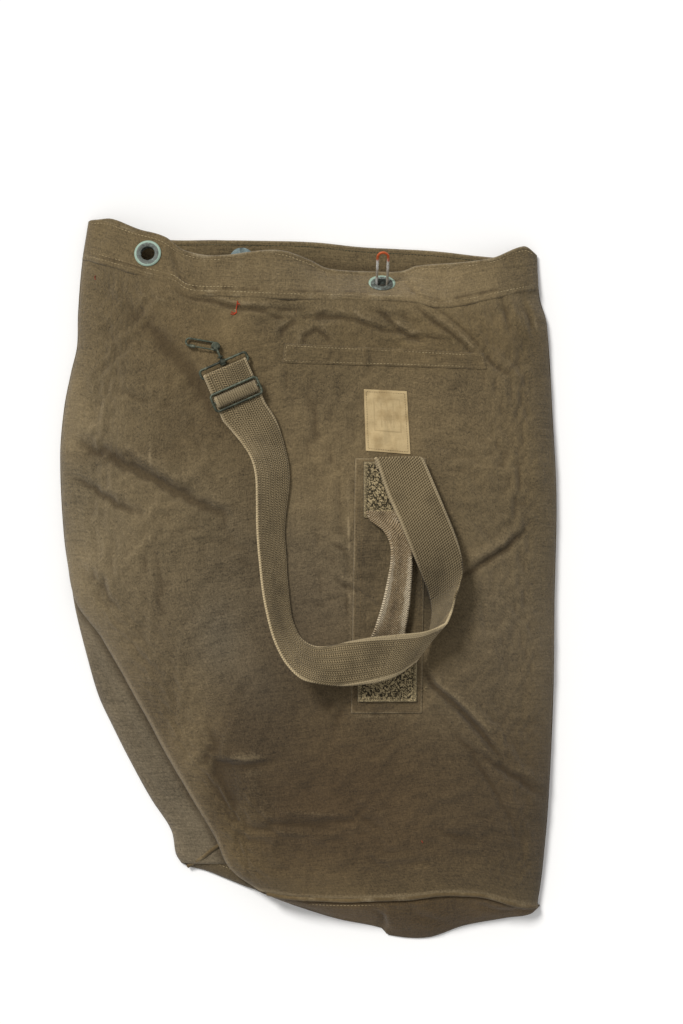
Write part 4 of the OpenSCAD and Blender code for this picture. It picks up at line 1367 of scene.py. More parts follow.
@dataclass
class Hems:
    """The folded bands round the mouth."""

    finish: Material
    thick: float = 3.2
    proud: float = 0.8
    groove_at: float = 4.0
    back_deep: float = 43.0
    back_floor: float = 1.65
    hole_r: float = 8.45
    calm_r: float = 14.0
    front_eyelets: tuple[str, ...] = ("eyelet_front_left", "eyelet_front_staple")
    back_eyelets: tuple[str, ...] = ("eyelet_back_left", "eyelet_back_right")

    def calmed(self, height: Array, grid: Array, eyelets: Iterable[str]) -> Array:
        """The heights with the cloth pressed flat round the eyelets."""
        for node in eyelets:
            low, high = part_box(node)
            spot = (low + high) / 2 / MM
            gap = np.hypot(grid[..., 0] - spot.x, grid[..., 1] - spot.y)
            height = height * ease((gap - self.calm_r) / 10)
        return height

    def punch(self, piece: Piece, eyelets: Iterable[str]) -> Piece:
        """Cuts the eyelets' holes and returns the piece."""
        for node in eyelets:
            centre, axis = eyelet_axis(node)
            pierce(piece, centre, axis, self.hole_r)
        return piece

    def ripples(self, points: Array, from_low: Array, from_rim: Array) -> Array:
        """Puckers beside the stitching and the soft waves of the band."""
        pucker = clouds(points * np.array([1, 0.25, 1]), 9, 71.0, 2)
        near = bell(from_low, self.groove_at, 5.0)
        height = 0.6 * pucker * near + 1.3 * clouds(points * np.array([1, 0.6, 1]), 26, 73.0, 3)
        height = height - 0.45 * bell(from_low, self.groove_at, 1.1)
        return height - 0.30 * bell(from_rim, 3.0, 1.0)

    def build_front(self) -> Piece:
        """The band along the front of the mouth."""
        flat = SHAPE.grid((SHAPE.left, SHAPE.right), SHAPE.hem, SHAPE.rim, 220, 30, (-0.02, 1.0))
        grid = np.concatenate([flat, SHAPE.front(flat[..., 0], flat[..., 1])[..., None]], -1)
        from_low = flat[..., 1] - through(SHAPE.hem, flat[..., 0])
        from_rim = through(SHAPE.rim, flat[..., 0]) - flat[..., 1]
        height = self.ripples(grid, from_low, from_rim)
        for c in (Crease(((97, 302), (106, 286), (114, 276)), 3.0, 1.6, 0.8),
                  Crease(((-138, 336), (-128, 306), (-119, 288)), 4.0, 3.2, 0.7),
                  Crease(((-60, 322), (-56, 306), (-62, 290)), 5.0, 0.7, 0.5),
                  Crease(((-190, 350), (-196, 330), (-190, 314)), 6.0, 0.8, 0.5)):
            height = height + c.height(grid)
        height = self.calmed(height, grid, self.front_eyelets)
        edge = 1 - np.abs(SHAPE.across(flat[..., 0], flat[..., 1]))
        height = height * (0.3 + 0.7 * ease(edge / 0.06))
        wear_and_painted_shading = worn_from(height, 2) + 0.4 * bell(from_rim, 0.4, 1.3)
        patchy = 0.6 + 0.8 * clouds(grid, 22, 75.0, 2)
        wear_and_painted_shading = wear_and_painted_shading + 0.42 * patchy * bell(from_low, self.groove_at, 1.6)
        wear_and_painted_shading = wear_and_painted_shading + 0.30 * patchy * bell(from_low, 0, 1.5)
        streaks = clouds(grid * np.array([1, 0.2, 1]), 15, 77.0, 2)
        soiled = bell(from_low, self.groove_at + 3, 1.6) * (patchy < 0.6)
        wear_and_painted_shading = wear_and_painted_shading + 0.3 * streaks - 0.5 * soiled
        sheet = Sheet(sunken(grid, height), self.proud - self.thick, self.proud, floor=1.7)
        piece = sheet.build("front_hem", {"wear_and_painted_shading": wear_and_painted_shading, "dye_and_painted_shadow": DYES.paint(grid)})
        return self.punch(piece, self.front_eyelets)

    def build_back(self) -> Piece:
        """The band along the back of the mouth, on the floor."""
        cols, rows = 200, 24
        xs = np.linspace(-212, 221, cols + 1)
        top = through(SHAPE.back_rim, xs)
        v = np.linspace(-self.back_deep, 0, rows + 1)[:, None]
        x = np.broadcast_to(xs, (rows + 1, cols + 1))
        flat = np.stack([x, top + v], -1)
        grid = np.concatenate([flat, np.full(x.shape, 3.2)[..., None]], -1)
        from_low, from_rim = np.broadcast_to(v + self.back_deep, x.shape), np.broadcast_to(-v, x.shape)
        height = self.ripples(grid, from_low, from_rim)
        height = self.calmed(height, grid, self.back_eyelets)
        wear_and_painted_shading = worn_from(height, 2) + 0.35 * bell(from_rim, 0.4, 1.2)
        # Painted shadow: darker where the front hem overhangs the back band, inside the mouth.
        wear_and_painted_shading = wear_and_painted_shading - 0.45 * bell(from_rim, 26, 12)
        dye_and_painted_shadow = one_shade(grid, 102, 88, 62)
        sheet = Sheet(sunken(grid, height), -1.5, 1.6, floor=self.back_floor)
        return self.punch(sheet.build("back_hem", {"wear_and_painted_shading": wear_and_painted_shading, "dye_and_painted_shadow": dye_and_painted_shadow}), self.back_eyelets)

    def make(self) -> Piece:
        """Builds, dresses and mounts both bands, and returns the front one."""
        front = join_body(self.build_front(), "bag", self.finish, "hem_canvas", "hem_front")
        join_body(self.build_back(), "bag", self.finish, "hem_canvas", "hem_back")
        return front


def eyelet_axis(node: str) -> tuple[Vector, Vector]:
    """The middle and direction of an eyelet, from the mount or the box of its node."""
    mounts = {m["name"]: m for m in frame["record"]["mounts"]}
    name = {"eyelet_front_left": "front_left_eyelet", "eyelet_front_staple": "locking_staple"}.get(node)
    low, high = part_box(node)
    axis = Vector(mounts[name]["axis"]) if name else Vector((0, 0, 1))
    return (low + high) / 2, axis


@dataclass
class SewnPatch:
    """A flat piece of cloth sewn on the front, bordered by four corners."""

    name: str
    corners: tuple[tuple[float, float], ...]
    thick: float
    cols: int
    rows: int
    lift: float = 0.25
    crown: float = 0.5
    rumple: float = 0.15
    seed: float = 81.0
    rim_wear: float = 0.3
    creases: tuple[Crease, ...] = ()

    def flat(self) -> Array:
        """The patch's points x, y."""
        a, b, c, d = (np.array(p, float) for p in self.corners)
        u = np.linspace(0, 1, self.cols + 1)[None, :, None]
        v = np.linspace(0, 1, self.rows + 1)[:, None, None]
        return (a * (1 - u) + b * u) * (1 - v) + (d * (1 - u) + c * u) * v

    def inset(self) -> Array:
        """Each point's distance from the nearest border, in millimetres."""
        a, b, _, d = (np.array(p, float) for p in self.corners)
        width, height = np.linalg.norm(b - a), np.linalg.norm(d - a)
        u = np.linspace(0, 1, self.cols + 1)[None, :] * width
        v = np.linspace(0, 1, self.rows + 1)[:, None] * height
        return np.minimum(np.minimum(u, width - u), np.minimum(v, height - v))

    def build(self, drape: Drape, extra: Callable[["SewnPatch", Array], dict]) -> Piece:
        """Lays the patch on the canvas.

        Args:
            drape: what it lies on.
            extra: gives the attributes from the patch and its points.

        Returns:
            The piece.
        """
        grid = drape.lay(self.flat(), self.lift + self.thick / 2)
        inset = self.inset()
        rise = self.crown * (1 - np.exp(-inset / 3.0)) + self.rumple * clouds(grid, 14, self.seed, 2)
        rise = rise + sum(c.height(grid) for c in self.creases)
        grid[..., 2] += rise * ease(inset / 3.0)
        return Sheet(grid, -self.thick / 2, self.thick / 2).build(self.name, extra(self, grid))

    def border(self, drape: Drape, inset: float, lift: float, step: float = 3.0) -> list[Array]:
        """Paths on the canvas along the patch's four sides, inset from them."""
        centre = np.mean(np.array(self.corners, float), axis=0)
        rim = []
        for p in self.corners:
            out = np.array(p, float) - centre
            rim.append(np.array(p, float) - np.sign(out) * inset)
        paths = []
        for i in range(4):
            leg = even(np.array([rim[i], rim[(i + 1) % 4]]), step)
            paths.append(drape.lay(leg, lift))
        return paths


@dataclass
class FrontTrim:
    """What is sewn on the front: strip, label, backing and pads, with their stitching."""

    canvas: Material
    label: Material
    nubs: Material
    thread: Material
    pale_thread: Material
    red: Material
    pad_t: float = 2.2
    pad_cell: float = 0.62

    def cloth_values(self, patch: SewnPatch, grid: Array) -> dict[str, Array]:
        """Dye and wear of a canvas patch: pale at its turned edge."""
        inset = patch.inset()
        wear_and_painted_shading = patch.rim_wear * bell(inset, 0, 1.6) + 0.12 * bell(inset, 4, 1.4) - 0.08
        return {"wear_and_painted_shading": wear_and_painted_shading + 0.2 * clouds(grid, 18, 83.0, 2), "dye_and_painted_shadow": DYES.paint(grid) * 0.97}

    def label_values(self, patch: SewnPatch, _grid: Array) -> dict[str, Array]:
        """Ink of a plain ruled box with three ruled lines."""
        u = np.linspace(0, 1, patch.cols + 1)[None, :]
        v = np.linspace(0, 1, patch.rows + 1)[:, None]
        box = np.maximum(np.abs(u - 0.52) / 0.30, np.abs(v - 0.60) / 0.26)
        ruled = bell(box, 1, 0.035)
        for line in (0.38, 0.52, 0.66):
            ruled = np.maximum(ruled, 0.8 * bell(u, line, 0.012) * (np.abs(v - 0.60) < 0.2))
        return {"ruled": ruled}

    def make_pad(self, name: str, x: float, width: float, low: float, high: float, node: str,
                 drape: Drape) -> Piece:
        """A sewn-down pad of webbing, covered in dense stitching.

        Args:
            name: the piece's name.
            x: its left edge.
            width: its width.
            low: its lower edge.
            high: its upper edge.
            node: the CAD node that it stands for.
            drape: what it lies on.

        Returns:
            The piece.
        """
        patch = SewnPatch(name, ((x, low), (x + width, low), (x + width, high), (x, high)),
                          thick=self.pad_t, cols=int(width / self.pad_cell),
                          rows=int((high - low) / self.pad_cell), lift=0.2)
        grid = drape.lay(patch.flat(), patch.lift + patch.thick / 2)
        inset = patch.inset()
        slanted = grid @ np.array([[0.8, -0.6, 0], [0.6, 0.8, 0], [0, 0, 1]])
        nubs = clouds(slanted * np.array([1.0, 0.7, 0.2]), 1.5, 93.0, 1)
        inner = ease((inset - 2.0) / 1.2)
        grid[..., 2] += 0.22 * np.clip(nubs * 1.6, -0.8, 0.8) * inner + 0.35 * bell(inset, 1.0, 0.9)
        values = {"nub": nubs * inner, "rim": bell(inset, 0, 1.7)}
        piece = Sheet(grid, -patch.thick / 2, patch.thick / 2).build(name, values)
        return join_body(piece, "bag", self.nubs, "webbing", node)

    def make(self, drape: Drape) -> None:
        """Builds, dresses and mounts all of the trim."""
        strip = SewnPatch("strip_canvas", ((-25, 216.5), (178, 210.5), (175, 226), (-23, 235.5)),
                          thick=0.6, cols=150, rows=18, lift=0.15, crown=0.5, rumple=0.8)
        join_body(strip.build(drape, self.cloth_values),
                  "bag", self.canvas, "canvas", "upper_strip")
        label = SewnPatch(
            "label", ((58, 129), (102, 125.5), (98.5, 188), (56, 190)),
            thick=0.7, cols=74, rows=106, lift=0.3, crown=0.35, rumple=0.5,
            creases=(Crease(((59, 184), (70, 170), (78, 158), (84, 138), (86, 128)), 1.3, 0.5, 0.9),
                     Crease(((70, 178), (80, 170), (92, 150), (99, 136)), 1.2, 0.4, 0.9),
                     Crease(((62, 160), (72, 148), (76, 132)), 1.2, 0.35, 0.9)))
        join_body(label.build(drape, self.label_values), "bag", self.label, "label", "owner_label")
        backing = SewnPatch("backing_canvas", ((43.5, -132), (113, -132), (117, 121), (47.5, 121)),
                            thick=1.1, cols=46, rows=168, rim_wear=0.6)
        join_body(backing.build(drape, self.cloth_values),
                  "bag", self.canvas, "canvas", "handle_backing")
        on_backing = Drape([bpy.data.objects["backing_canvas"], bpy.data.objects["front_canvas"]])
        self.make_pad("pad_upper", 56.5, 57, 63, 117, "handle_top_pad", on_backing)
        self.make_pad("pad_lower", 50.5, 57, -120, -66, "handle_bottom_pad", on_backing)
        over = Drape([bpy.data.objects[n]
                      for n in ("front_canvas", "strip_canvas", "label", "backing_canvas")])
        rows = Stitches("strip_stitches", length=2.3, gap=1.1, radius=0.26).build(
            strip.border(over, 2.0, 0.1))
        join_body(rows, "bag", self.pale_thread, "hem_canvas")
        rows = Stitches("label_stitches", length=1.7, gap=0.7, radius=0.2).build(
            label.border(over, 2.2, 0.1, 2.0))
        join_body(rows, "bag", self.thread, "canvas")
        rows = Stitches("backing_stitches", length=2.4, gap=1.1, radius=0.26).build(
            backing.border(over, 2.0, 0.1) + backing.border(over, 7.0, 0.1))
        join_body(rows, "bag", self.thread, "canvas")
        self.make_red_tack(over)

    def make_red_tack(self, drape: Drape) -> None:
        """The short red threads that tack the hem, and two loose ends elsewhere."""
        lines = (((-70, 278), (-70.5, 274), (-71.5, 270), (-71, 266.5)),
                 ((-71, 267), (-73.5, 266), (-76, 267.5)),
                 ((-71, 266.8), (-74, 264.8), (-77, 265.5)), ((-69.6, 276), (-68, 274.5)),
                 ((-213, 305), (-214, 303), (-213, 301)), ((113.5, -260), (114.5, -262)))
        points, faces = [], []
        for i, line in enumerate(lines):
            path = drape.lay(spline(line, 5), 0.45)
            path[:, 2] += 0.25 * np.sin(np.arange(len(path)) * 1.7 + i)
            rings = tube_points(path, 0.55 if i < 4 else 0.4, 8)
            faces += ring_faces(len(path), 8, len(points))
            points += rings.reshape(-1, 3).tolist()
        join_body(new_piece("red_threads", np.array(points), faces),
                  "bag", self.red, "red_thread", "red_tack")


# ---------------------------------------------------------------- handle and strap

@dataclass
class Handle:
    """The carry handle: one band in three pieces, whose ends bend down under the pads."""

    finish: Material
    stations: tuple[tuple[float, ...], ...] = (
        (74, 68, 50.2, 15, 0), (76, 60, 51.8, 13, 0), (86, 50, 54.5, 10.5, 5), (92, 36, 57, 9.6, 10),
        (92.5, 18, 58.4, 10, 14), (90, -4, 59, 11.6, 16), (87, -24, 59, 13, 14), (82, -46, 57, 14.4, 8),
        (79, -58, 53.2, 16, 0), (78, -68, 51, 20, 0))
    thick: float = 3.4
    cols: int = 26
    grip_from: float = 45.0
    grip_to: float = -10.0

    def surface(self) -> Array:
        """Points on the middle of the band, from the upper end to the lower."""
        rows = spline(self.stations, 22)
        u = np.linspace(-1, 1, self.cols + 1)[None, :]
        x, y, z, half, roll = (rows[:, i][:, None] for i in range(5))
        turn = np.radians(roll)
        cup = 1.7 * (np.abs(u) ** 2.4) - 1.0
        side = u * half
        grid = np.stack([x + side * np.cos(turn) + cup * np.sin(turn), y + 0 * side,
                         z - side * np.sin(turn) + cup * np.cos(turn)], -1)
        return grid

    def make(self) -> None:
        """Builds and dresses the three pieces, and mounts the middle one on the handle."""
        grid = self.surface()
        u = np.linspace(-1, 1, self.cols + 1)[None, :]
        grid = grid + 0.35 * clouds(grid, 16, 101.0, 2)[..., None] * np.array([0, 0, 1.0])
        middle_y = grid[:, self.cols // 2, 1]
        rub = bell(middle_y, -18, 30)[:, None]
        wear_and_painted_shading = (0.2 + 0.7 * rub) * bell(np.abs(u), 0.92, 0.3) - 0.36 * bell(u, -0.1, 0.36)
        wear_and_painted_shading = wear_and_painted_shading + 0.25 * clouds(grid, 10, 103.0, 2)
        cuts = (0, int(np.argmax(middle_y < self.grip_from)), int(np.argmax(middle_y < self.grip_to)),
                len(grid) - 1)
        names = ("handle_upper_end", "handle_band", "handle_lower_end")
        for i, name in enumerate(names):
            part = slice(cuts[i], cuts[i + 1] + 1)
            sheet = Sheet(grid[part], -self.thick / 2, self.thick / 2)
            piece = sheet.build(name, {"wear_and_painted_shading": wear_and_painted_shading[part]})
            if i == 1:
                join_body(piece, "handle", self.finish, "webbing", "handle_grip")
                continue
            ends = ((0.080, 0.062, 0.052), (0.086, 0.047, 0.053)) if i == 0 else (
                (0.079, -0.058, 0.052), (0.083, -0.012, 0.052))
            bend_piece(piece, "bag", "handle", *ends, finish=self.finish, slot="webbing")


def bend_piece(piece: Piece, start_body: str, end_body: str, start: Sequence[float],
               end: Sequence[float], finish: Material, slot: str, *nodes: str) -> None:
    """Dresses a piece that runs between two bodies and bakes it in place, tied to neither.

    Args:
        piece: the piece.
        start_body: the body at its start, named only in the log.
        end_body: the body at its end, named only in the log.
        start: not used.
        end: not used.
        finish: its material.
        slot: not used.
        nodes: the CAD nodes that it stands for.
    """
    piece.data.materials.clear()
    piece.data.materials.append(finish)
    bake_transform(piece)
    if nodes:
        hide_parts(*nodes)
    log.info("%s bends between %s and %s", piece.name, start_body, end_body)


@dataclass
class Strap:
    """The shoulder strap: one ribbon of webbing, given as lines across it from edge to edge."""

    finish: Material
    arch_finish: Material
    upper: tuple[tuple[float, ...], ...] = (
        (69, 111, 49.6, 112.5, 113, 49.6), (67.5, 119.5, 50.0, 112, 120.5, 50.0),
        (66.8, 121.2, 51.5, 111.8, 122, 51.5), (69, 117.5, 53.0, 115, 119, 52.6),
        (80, 85, 55.5, 124, 98, 53.5), (93, 56, 61.5, 136, 69, 57),
        (106, 24, 63, 147.5, 39, 61.5), (116, 0, 59, 152.5, 14, 67),
        (122, -19, 53, 150, -2, 72), (123, -38, 51.5, 146, -14, 74), (118, -60, 52, 142, -29, 74),
        (108, -78, 57, 137, -40, 76))
    lower: tuple[tuple[float, ...], ...] = (
        (105, -80.5, 60.5, 132.5, -43, 79.5), (98, -86, 66, 126, -46, 81.5), (86, -94, 69, 112, -50.5, 81),
        (70, -99, 69, 89, -53, 79), (54, -101.5, 67, 64, -56, 74), (35, -103, 66, 43, -60, 67),
        (14, -101, 73, 24, -65, 56), (-5, -96, 79, 9, -66, 49.5), (-19, -83, 83, -4, -60.5, 48.5),
        (-30, -64, 85, -12, -50, 48.5), (-38, -39, 86, -17.5, -34, 48.5), (-44, -9, 85, -20.5, -8, 48.5),
        (-47.5, 24, 84, -22.5, 24, 48.5), (-49.5, 52, 83, -24, 52, 48.5), (-50, 80, 81, -21.5, 77, 48.5),
        (-51, 104, 77, -19, 98, 48.5), (-55.5, 121, 72, -20.5, 119, 48.5), (-64, 135, 64, -25.5, 140, 48.8),
        (-74.5, 148, 55, -32.5, 160, 50.6))
    bar: tuple[float, float, float] = (-81.4, 209.2, 50.1)
    bar_turn: float = math.radians(23.6)
    fold_len: float = 46.0
    web_mid: float = 2.55
    half: float = 22.25
    thick: float = 2.2
    steps: int = 9
    cols: int = 24
    sewn_lines: int = 8
    turn_lines: int = 3
    arch_at: float = -26.7
    arch_reach: float = 5.1
    arch_foot: float = 4.05
    arch_rise: float = 3.3
    arch_t: float = 2.0

    def at_bar(self, x: Array, y: Array, z: Array) -> Array:
        """Points from the frame at the loop's bar, whose +Y runs towards the hook."""
        c, s = math.cos(self.bar_turn), math.sin(self.bar_turn)
        return np.stack([self.bar[0] + x * c - y * s, self.bar[1] + x * s + y * c, self.bar[2] + z], -1)

    def doubled_end(self) -> Array:
        """Lines across the webbing from its flat run over the bar and back underneath."""
        flat = np.linspace(-self.fold_len, -0.5, 22)
        turn = np.radians(np.linspace(90, -90, 13))
        y = np.r_[flat, self.web_mid * np.cos(turn), flat[::-1]]
        z = np.r_[np.full(22, self.web_mid), self.web_mid * np.sin(turn), np.full(22, -self.web_mid)]
        left = self.at_bar(np.full(y.shape, -self.half), y, z)
        right = self.at_bar(np.full(y.shape, self.half), y, z)
        return np.concatenate([left, right], -1)

    def surface(self, lines: Array, crown: float, seed: float) -> Array:
        """Points on the middle of the webbing, crowned a little and never quite flat."""
        u = np.linspace(0, 1, self.cols + 1)[None, :, None]
        grid = lines[:, None, :3] * (1 - u) + lines[:, None, 3:] * u
        swell = crown * (1 - (2 * u[..., 0] - 1) ** 2) + 0.35 * clouds(grid, 26, seed, 2)
        return sunken(grid, swell)

    def make(self) -> None:
        """Builds and dresses the strap's pieces, and mounts the lower run and the roll."""
        run = spline(self.upper + self.lower + (tuple(self.doubled_end()[0]),), self.steps)
        root = self.sewn_lines * self.steps
        turn = (len(self.upper) + self.turn_lines) * self.steps
        free = len(run)
        taper_and_painted_light = ease(np.arange(free)[::-1] / (2 * self.steps))[:, None]
        grid = self.surface(run, 0.0, 111.0)
        shape = normals_of(grid)
        u = np.linspace(-1, 1, self.cols + 1)[None, :]
        grid = grid + shape * (0.5 * (u * u - 0.4) * taper_and_painted_light)[..., None]
        plain_end = self.surface(self.doubled_end(), 0.0, 111.0)
        whole = np.concatenate([grid[:-1], plain_end], 0)
        # Painted light: strap faces that stand on edge are made up to 55 % brighter, and the upper run beside
        # the handle is darkened as painted shade.
        upright = 0.55 * ease((0.92 - np.abs(normals_of(whole)[..., 2])) / 0.4)
        shade = -0.36 * ease((np.arange(len(whole))[:, None] / self.steps - 4) / 3)
        taper_and_painted_light = upright + shade * (np.arange(len(whole))[:, None] < root + 2 * self.steps)
        cuts = {"strap_upper_web": (0, root + 1), "strap_turn_web": (root, turn + 1),
                "strap_lower_web": (turn, None)}
        pieces = {n: Sheet(whole[a:b], -self.thick / 2, self.thick / 2).build(n, {"taper_and_painted_light": taper_and_painted_light[a:b]})
                  for n, (a, b) in cuts.items()}
        bend_piece(pieces["strap_upper_web"], "bag", "strap_root", (0.0915, 0.1215, 0.052),
                   (0.0965, 0.104, 0.053), self.finish, "webbing", "strap_upper")
        bend_piece(pieces["strap_turn_web"], "strap_root", "strap_free", (0.122, -0.019, 0.067),
                   (0.0938, -0.0566, 0.072), self.finish, "webbing")
        join_body(pieces["strap_lower_web"], "strap_free", self.finish, "webbing",
                  "strap_lower", "strap_end_fold")
        self.make_arch()

    def make_arch(self) -> None:
        """The webbing that arches over the adjuster's middle bar."""
        angle = np.radians(np.linspace(0, 180, 26))[:, None]
        x = np.linspace(-self.half + 1, self.half - 1, 30)[None, :]
        y = self.arch_at + self.arch_reach * np.cos(angle) + 0 * x
        swell = 0.5 * np.sin(angle) * (1 - (x / self.half) ** 2)
        z = self.arch_foot + self.arch_rise * np.sin(angle) + swell
        grid = self.at_bar(np.broadcast_to(x, y.shape), y, z)
        piece = Sheet(grid, -self.arch_t / 2, self.arch_t / 2).build("adjuster_roll")
        join_body(piece, "adjuster", self.arch_finish, "webbing", "adjuster_web")


# ---------------------------------------------------------------- metal, stitching and lint

@dataclass
class Hardware:
    """Finishes on the metal, which keeps its solids."""

    def finishes(self) -> tuple[tuple[MetalFinish, str, tuple[str, ...]], ...]:
        """Each kind of metal, with its slot and the nodes made of it."""
        return (
            (MetalFinish("dark_steel", tone(70, 76, 62), tone(118, 120, 104), tone(34, 36, 26),
                         metal=0.45, gloss=0.38), "dark_steel",
             ("adjuster_frame", "adjuster_bar", "strap_loop", "swivel_post", "hook_body", "hook_gate")),
            (MetalFinish("verdigris_brass", tone(84, 88, 82), tone(128, 140, 134), tone(52, 54, 48),
                         metal=0.2, gloss=0.5, lumps=420, rim=tone(150, 172, 157)), "eyelet_brass",
             ("eyelet_front_left", "washer_front_left", "eyelet_front_staple", "washer_front_staple")),
            (MetalFinish("greyed_brass", tone(122, 138, 140), tone(160, 172, 168), tone(62, 68, 62),
                         metal=0.35, gloss=0.45, lumps=420), "eyelet_brass",
             ("eyelet_back_left", "washer_back_left", "eyelet_back_right", "washer_back_right")),
            (MetalFinish("staple_wire", tone(196, 194, 188), tone(224, 222, 216), tone(140, 128, 108),
                         metal=0.25, gloss=0.4, lumps=380, rust_from=0.72), "staple_wire",
             ("locking_staple",)),
            (MetalFinish("staple_plate", tone(96, 96, 88), tone(130, 128, 118), tone(54, 46, 34),
                         metal=0.5, gloss=0.45), "staple_wire", ("staple_plate",)))

    def make(self) -> None:
        """Dresses every metal node."""
        for finish, slot, nodes in self.finishes():
            material = finish.make()
            for node in nodes:
                solid = frame["nodes"][node]
                solid.data.materials.clear()
                solid.data.materials.append(material)
            log.info("%s on %s", finish.name, ", ".join(nodes))


@dataclass
class Seams:
    """The rows of stitches along the hems and the bottom."""

    pale: Material
    green: Material
    hardware: tuple[tuple[float, float], ...] = ((-160, 326), (74, 297))
    keep_off: float = 14.5

    def hem_rows(self, over: Drape) -> list[Array]:
        """Paths along both edges of the front hem, with a second row at the left."""
        xs = np.linspace(-219, 226, 300)
        left = np.linspace(-219, -70, 100)
        rows = [np.stack([xs, through(SHAPE.hem, xs) + 4.0], 1),
                np.stack([xs, through(SHAPE.rim, xs) - 3.0], 1),
                np.stack([left, through(SHAPE.hem, left) + 8.5], 1)]
        kept = []
        for row in rows:
            near = np.min([np.hypot(row[:, 0] - x, row[:, 1] - y) for x, y in self.hardware], axis=0)
            runs = np.split(row, np.flatnonzero(np.diff((near > self.keep_off).astype(int))) + 1)
            kept += [run for run in runs if len(run) > 4
                     and min(np.hypot(*(run[len(run) // 2] - np.array(spot)))
                             for spot in self.hardware) > self.keep_off]
        return [over.lay(row, 0.05) for row in kept]

    def make(self, over: Drape, back: Drape, bottom: Drape) -> None:
        """Builds, dresses and mounts every row."""
        rows = Stitches("hem_stitches", length=2.7, gap=0.9, radius=0.33, sink=0.1).build(
            self.hem_rows(over))
        join_body(rows, "bag", self.pale, "hem_canvas")
        xs = np.linspace(-205, 215, 260)
        paths = [back.lay(np.stack([xs, through(SHAPE.back_rim, xs) - 3.5], 1), 0.1)]
        rows = Stitches("rim_stitches", length=2.6, gap=0.6, radius=0.3, sink=0.0).build(paths)
        join_body(rows, "bag", self.green, "hem_canvas")
        xs = np.linspace(0, 74, 60)
        paths = [bottom.lay(np.stack([xs, through(SHAPE.seam, xs) - 7.5], 1), 0.1)]
        corner = spline(((-104, -283), (-94, -286), (-78, -292), (-62, -301), (-52, -306)), 6)
        paths.append(bottom.lay(corner, 0.1))
        rows = Stitches("bottom_stitches", length=2.4, gap=1.2, radius=0.25).build(paths)
        join_body(rows, "bag", self.pale, "canvas")


def make_lint(drape: Drape, finish: Material) -> None:
    """Small pale tufts of lint caught on the cloth below the handle."""
    rng = np.random.default_rng(7)
    points, faces = [], []
    for x, y, size in ((64, -59, 3.0), (105, -80, 2.6), (116, -108, 2.2), (-72, 268, 1.6)):
        for _ in range(9):
            turn = rng.uniform(0, 2 * math.pi)
            bend = turn + rng.uniform(-1.4, 1.4)
            reach = size * rng.uniform(0.5, 1.0)
            line = ((x, y), (x + reach * math.cos(turn), y + reach * math.sin(turn)),
                    (x + reach * (math.cos(turn) + math.cos(bend)),
                     y + reach * (math.sin(turn) + math.sin(bend))))
            path = drape.lay(spline(line, 4), 0.3)
            path[:, 2] += rng.uniform(0.0, 0.5, len(path))
            rings = tube_points(path, 0.16, 5)
            faces += ring_faces(len(path), 5, len(points))
            points += rings.reshape(-1, 3).tolist()
    join_body(new_piece("lint", np.array(points), faces), "bag", finish, "hem_canvas")


# ---------------------------------------------------------------- the room

@dataclass(frozen=True)
class Studio:
    """A white floor and sky with one soft light from the upper left."""

    sky: float = 0.50
    sun: float = 2.55
    sun_from: tuple[float, float, float] = (-0.50, 0.62, 0.80)
    sky_colour: tuple[float, float, float] = (1.0, 0.995, 0.985)
    sun_colour: tuple[float, float, float] = (1.0, 0.985, 0.96)
    sun_spread: float = math.radians(16)
    floor_half: float = 6000.0
    floor_below: float = 0.4
    centre: tuple[float, float] = (0.0335, 0.068)
    height: float = 2.874
    lens: float = 100.0
    sensor: float = 36.0

    def make(self) -> None:
        """Sets up the floor, light, sky and camera."""
        scene = bpy.context.scene
        scene.view_settings.view_transform = "Standard"
        scene.view_settings.look = "None"
        world = bpy.data.worlds.new("sky")
        world.use_nodes = True
        glow = world.node_tree.nodes["Background"]
        glow.inputs["Color"].default_value = (*self.sky_colour, 1.0)
        glow.inputs["Strength"].default_value = self.sky
        scene.world = world
        signs = np.array([(-1, -1, 0), (1, -1, 0), (1, 1, 0), (-1, 1, 0)])
        floor = new_piece("floor", signs * self.floor_half - [0, 0, self.floor_below], [(0, 1, 2, 3)])
        r = Recipe("floor_white")
        floor.data.materials.append(r.finish((0.98, 0.98, 0.98), 1.0, specular=0.0))
        lamp = bpy.data.lights.new("sun", "SUN")
        lamp.energy = self.sun
        lamp.angle = self.sun_spread
        lamp.color = self.sun_colour
        light = bpy.data.objects.new("sun", lamp)
        light.rotation_euler = Vector(self.sun_from).to_track_quat("Z", "Y").to_euler()
        lens = bpy.data.cameras.new("camera")
        lens.lens, lens.sensor_width = self.lens, self.sensor
        lens.clip_end = 20
        camera = bpy.data.objects.new("camera", lens)
        camera.location = (*self.centre, self.height)
        for thing in (light, camera):
            scene.collection.objects.link(thing)
        scene.camera = camera


@dataclass(frozen=True)
class Cloth:
    """A flat cut of cloth or webbing: its size in metres, how it is held and what is sewn on it."""

    name: str
    flat: tuple[float, float]
    held: str
    rests_on: tuple[str, ...] = ()
    area: float | None = None
    carries: tuple[str, ...] = ()

    def declare(self) -> None:
        """Reads what the piece rests on and looks up the pieces that it carries; nothing is stored."""
        list(self.rests_on)
        [bpy.data.objects[n] for n in self.carries]


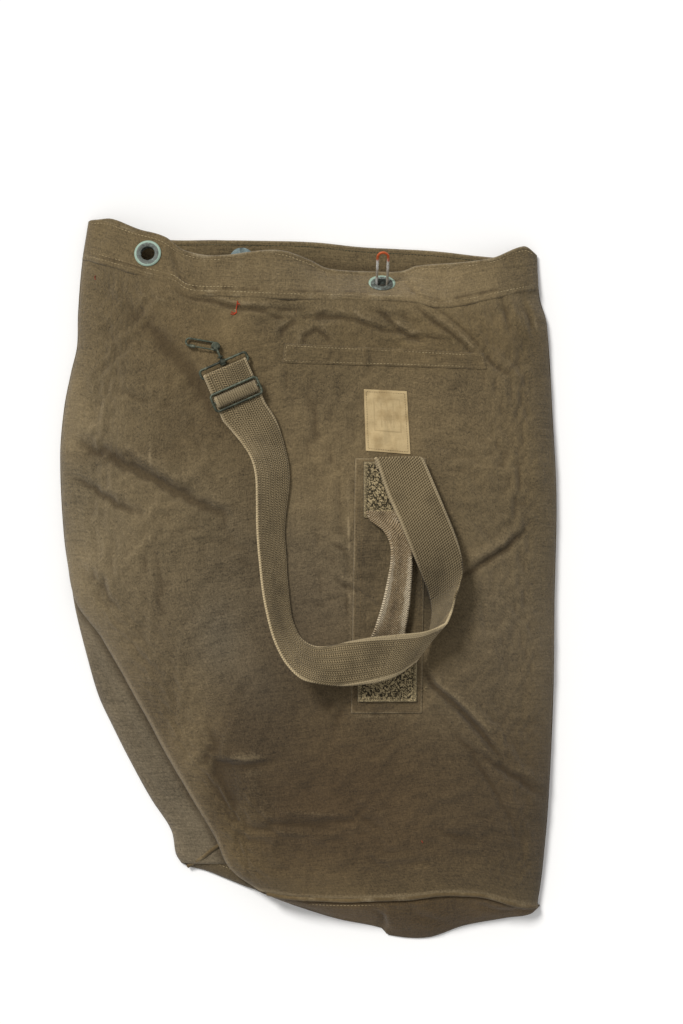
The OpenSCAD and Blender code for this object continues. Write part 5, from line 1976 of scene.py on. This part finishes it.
CLOTHS = (
    Cloth("front_canvas", (0.53, 0.62), "laid", ("back_canvas",), 0.296, ("front_hem",)),
    Cloth("back_canvas", (0.50, 0.70), "laid", (), 0.307, ("back_hem",)),
    Cloth("side_tuck_canvas", (0.055, 0.285), "folded", ("back_canvas",), 0.0134),
    Cloth("bottom_canvas", (0.28, 0.06), "laid", ("back_canvas",), 0.0112),
    Cloth("strip_canvas", (0.202, 0.017), "laid", ("front_canvas",)),
    Cloth("label", (0.043, 0.062), "laid", ("front_canvas",)),
    Cloth("backing_canvas", (0.069, 0.253), "laid", ("front_canvas",)),
    Cloth("pad_upper", (0.057, 0.054), "laid", ("backing_canvas",)),
    Cloth("pad_lower", (0.057, 0.054), "laid", ("backing_canvas",)),
    Cloth("strap_upper_web", (0.0445, 0.165), "laid", ("front_canvas",)),
    Cloth("strap_turn_web", (0.0445, 0.086), "laid", ("front_canvas",)),
    Cloth("strap_lower_web", (0.0445, 0.47), "laid", ("front_canvas",)),
    Cloth("adjuster_roll", (0.0425, 0.0165), "folded", ("adjuster_bar",)),
    Cloth("handle_upper_end", (0.026, 0.032), "folded", ("backing_canvas",)),
    Cloth("handle_band", (0.025, 0.065), "folded", ("pad_upper", "pad_lower")),
    Cloth("handle_lower_end", (0.033, 0.065), "folded", ("backing_canvas",)))


def main() -> None:
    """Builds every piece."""
    logging.basicConfig(level=logging.INFO, format="%(name)s: %(message)s")
    canvas = CanvasFinish().make()
    hem = CanvasFinish("hem_duck", pale=tone(160, 146, 118)).make()
    thread = ThreadFinish("brown_thread", tone(120, 100, 68), tone(82, 68, 46)).make()
    pale = ThreadFinish("pale_thread", tone(172, 154, 117), tone(124, 107, 77)).make()
    green = ThreadFinish("green_thread", tone(52, 62, 44), tone(34, 40, 28)).make()
    red = ThreadFinish("red_thread", tone(176, 66, 34), tone(120, 44, 26)).make()
    front, bottom = Canvas(canvas, hem).make()
    front_hem = Hems(hem).make()
    on_front = Drape([front, front_hem])
    FrontTrim(canvas, LabelFinish().make(), PadFinish().make(), thread, pale, red).make(on_front)
    Seams(pale, green).make(on_front, Drape([bpy.data.objects["back_hem"]]),
                            Drape([bottom, bpy.data.objects["bottom_corner"]]))
    Handle(GripFinish().make()).make()
    web = WebbingFinish("strap_webbing", Weave.TWO_FACED)
    roll = WebbingFinish("roll_webbing", plain=tone(136, 121, 91), half_width=21.0, pitch=1.5)
    Strap(web.make(), roll.make()).make()
    Hardware().make()
    make_lint(Drape([front, bpy.data.objects["backing_canvas"]]), pale)
    Studio().make()
    for cloth in CLOTHS:
        cloth.declare()


if __name__ == "__main__":
    main()
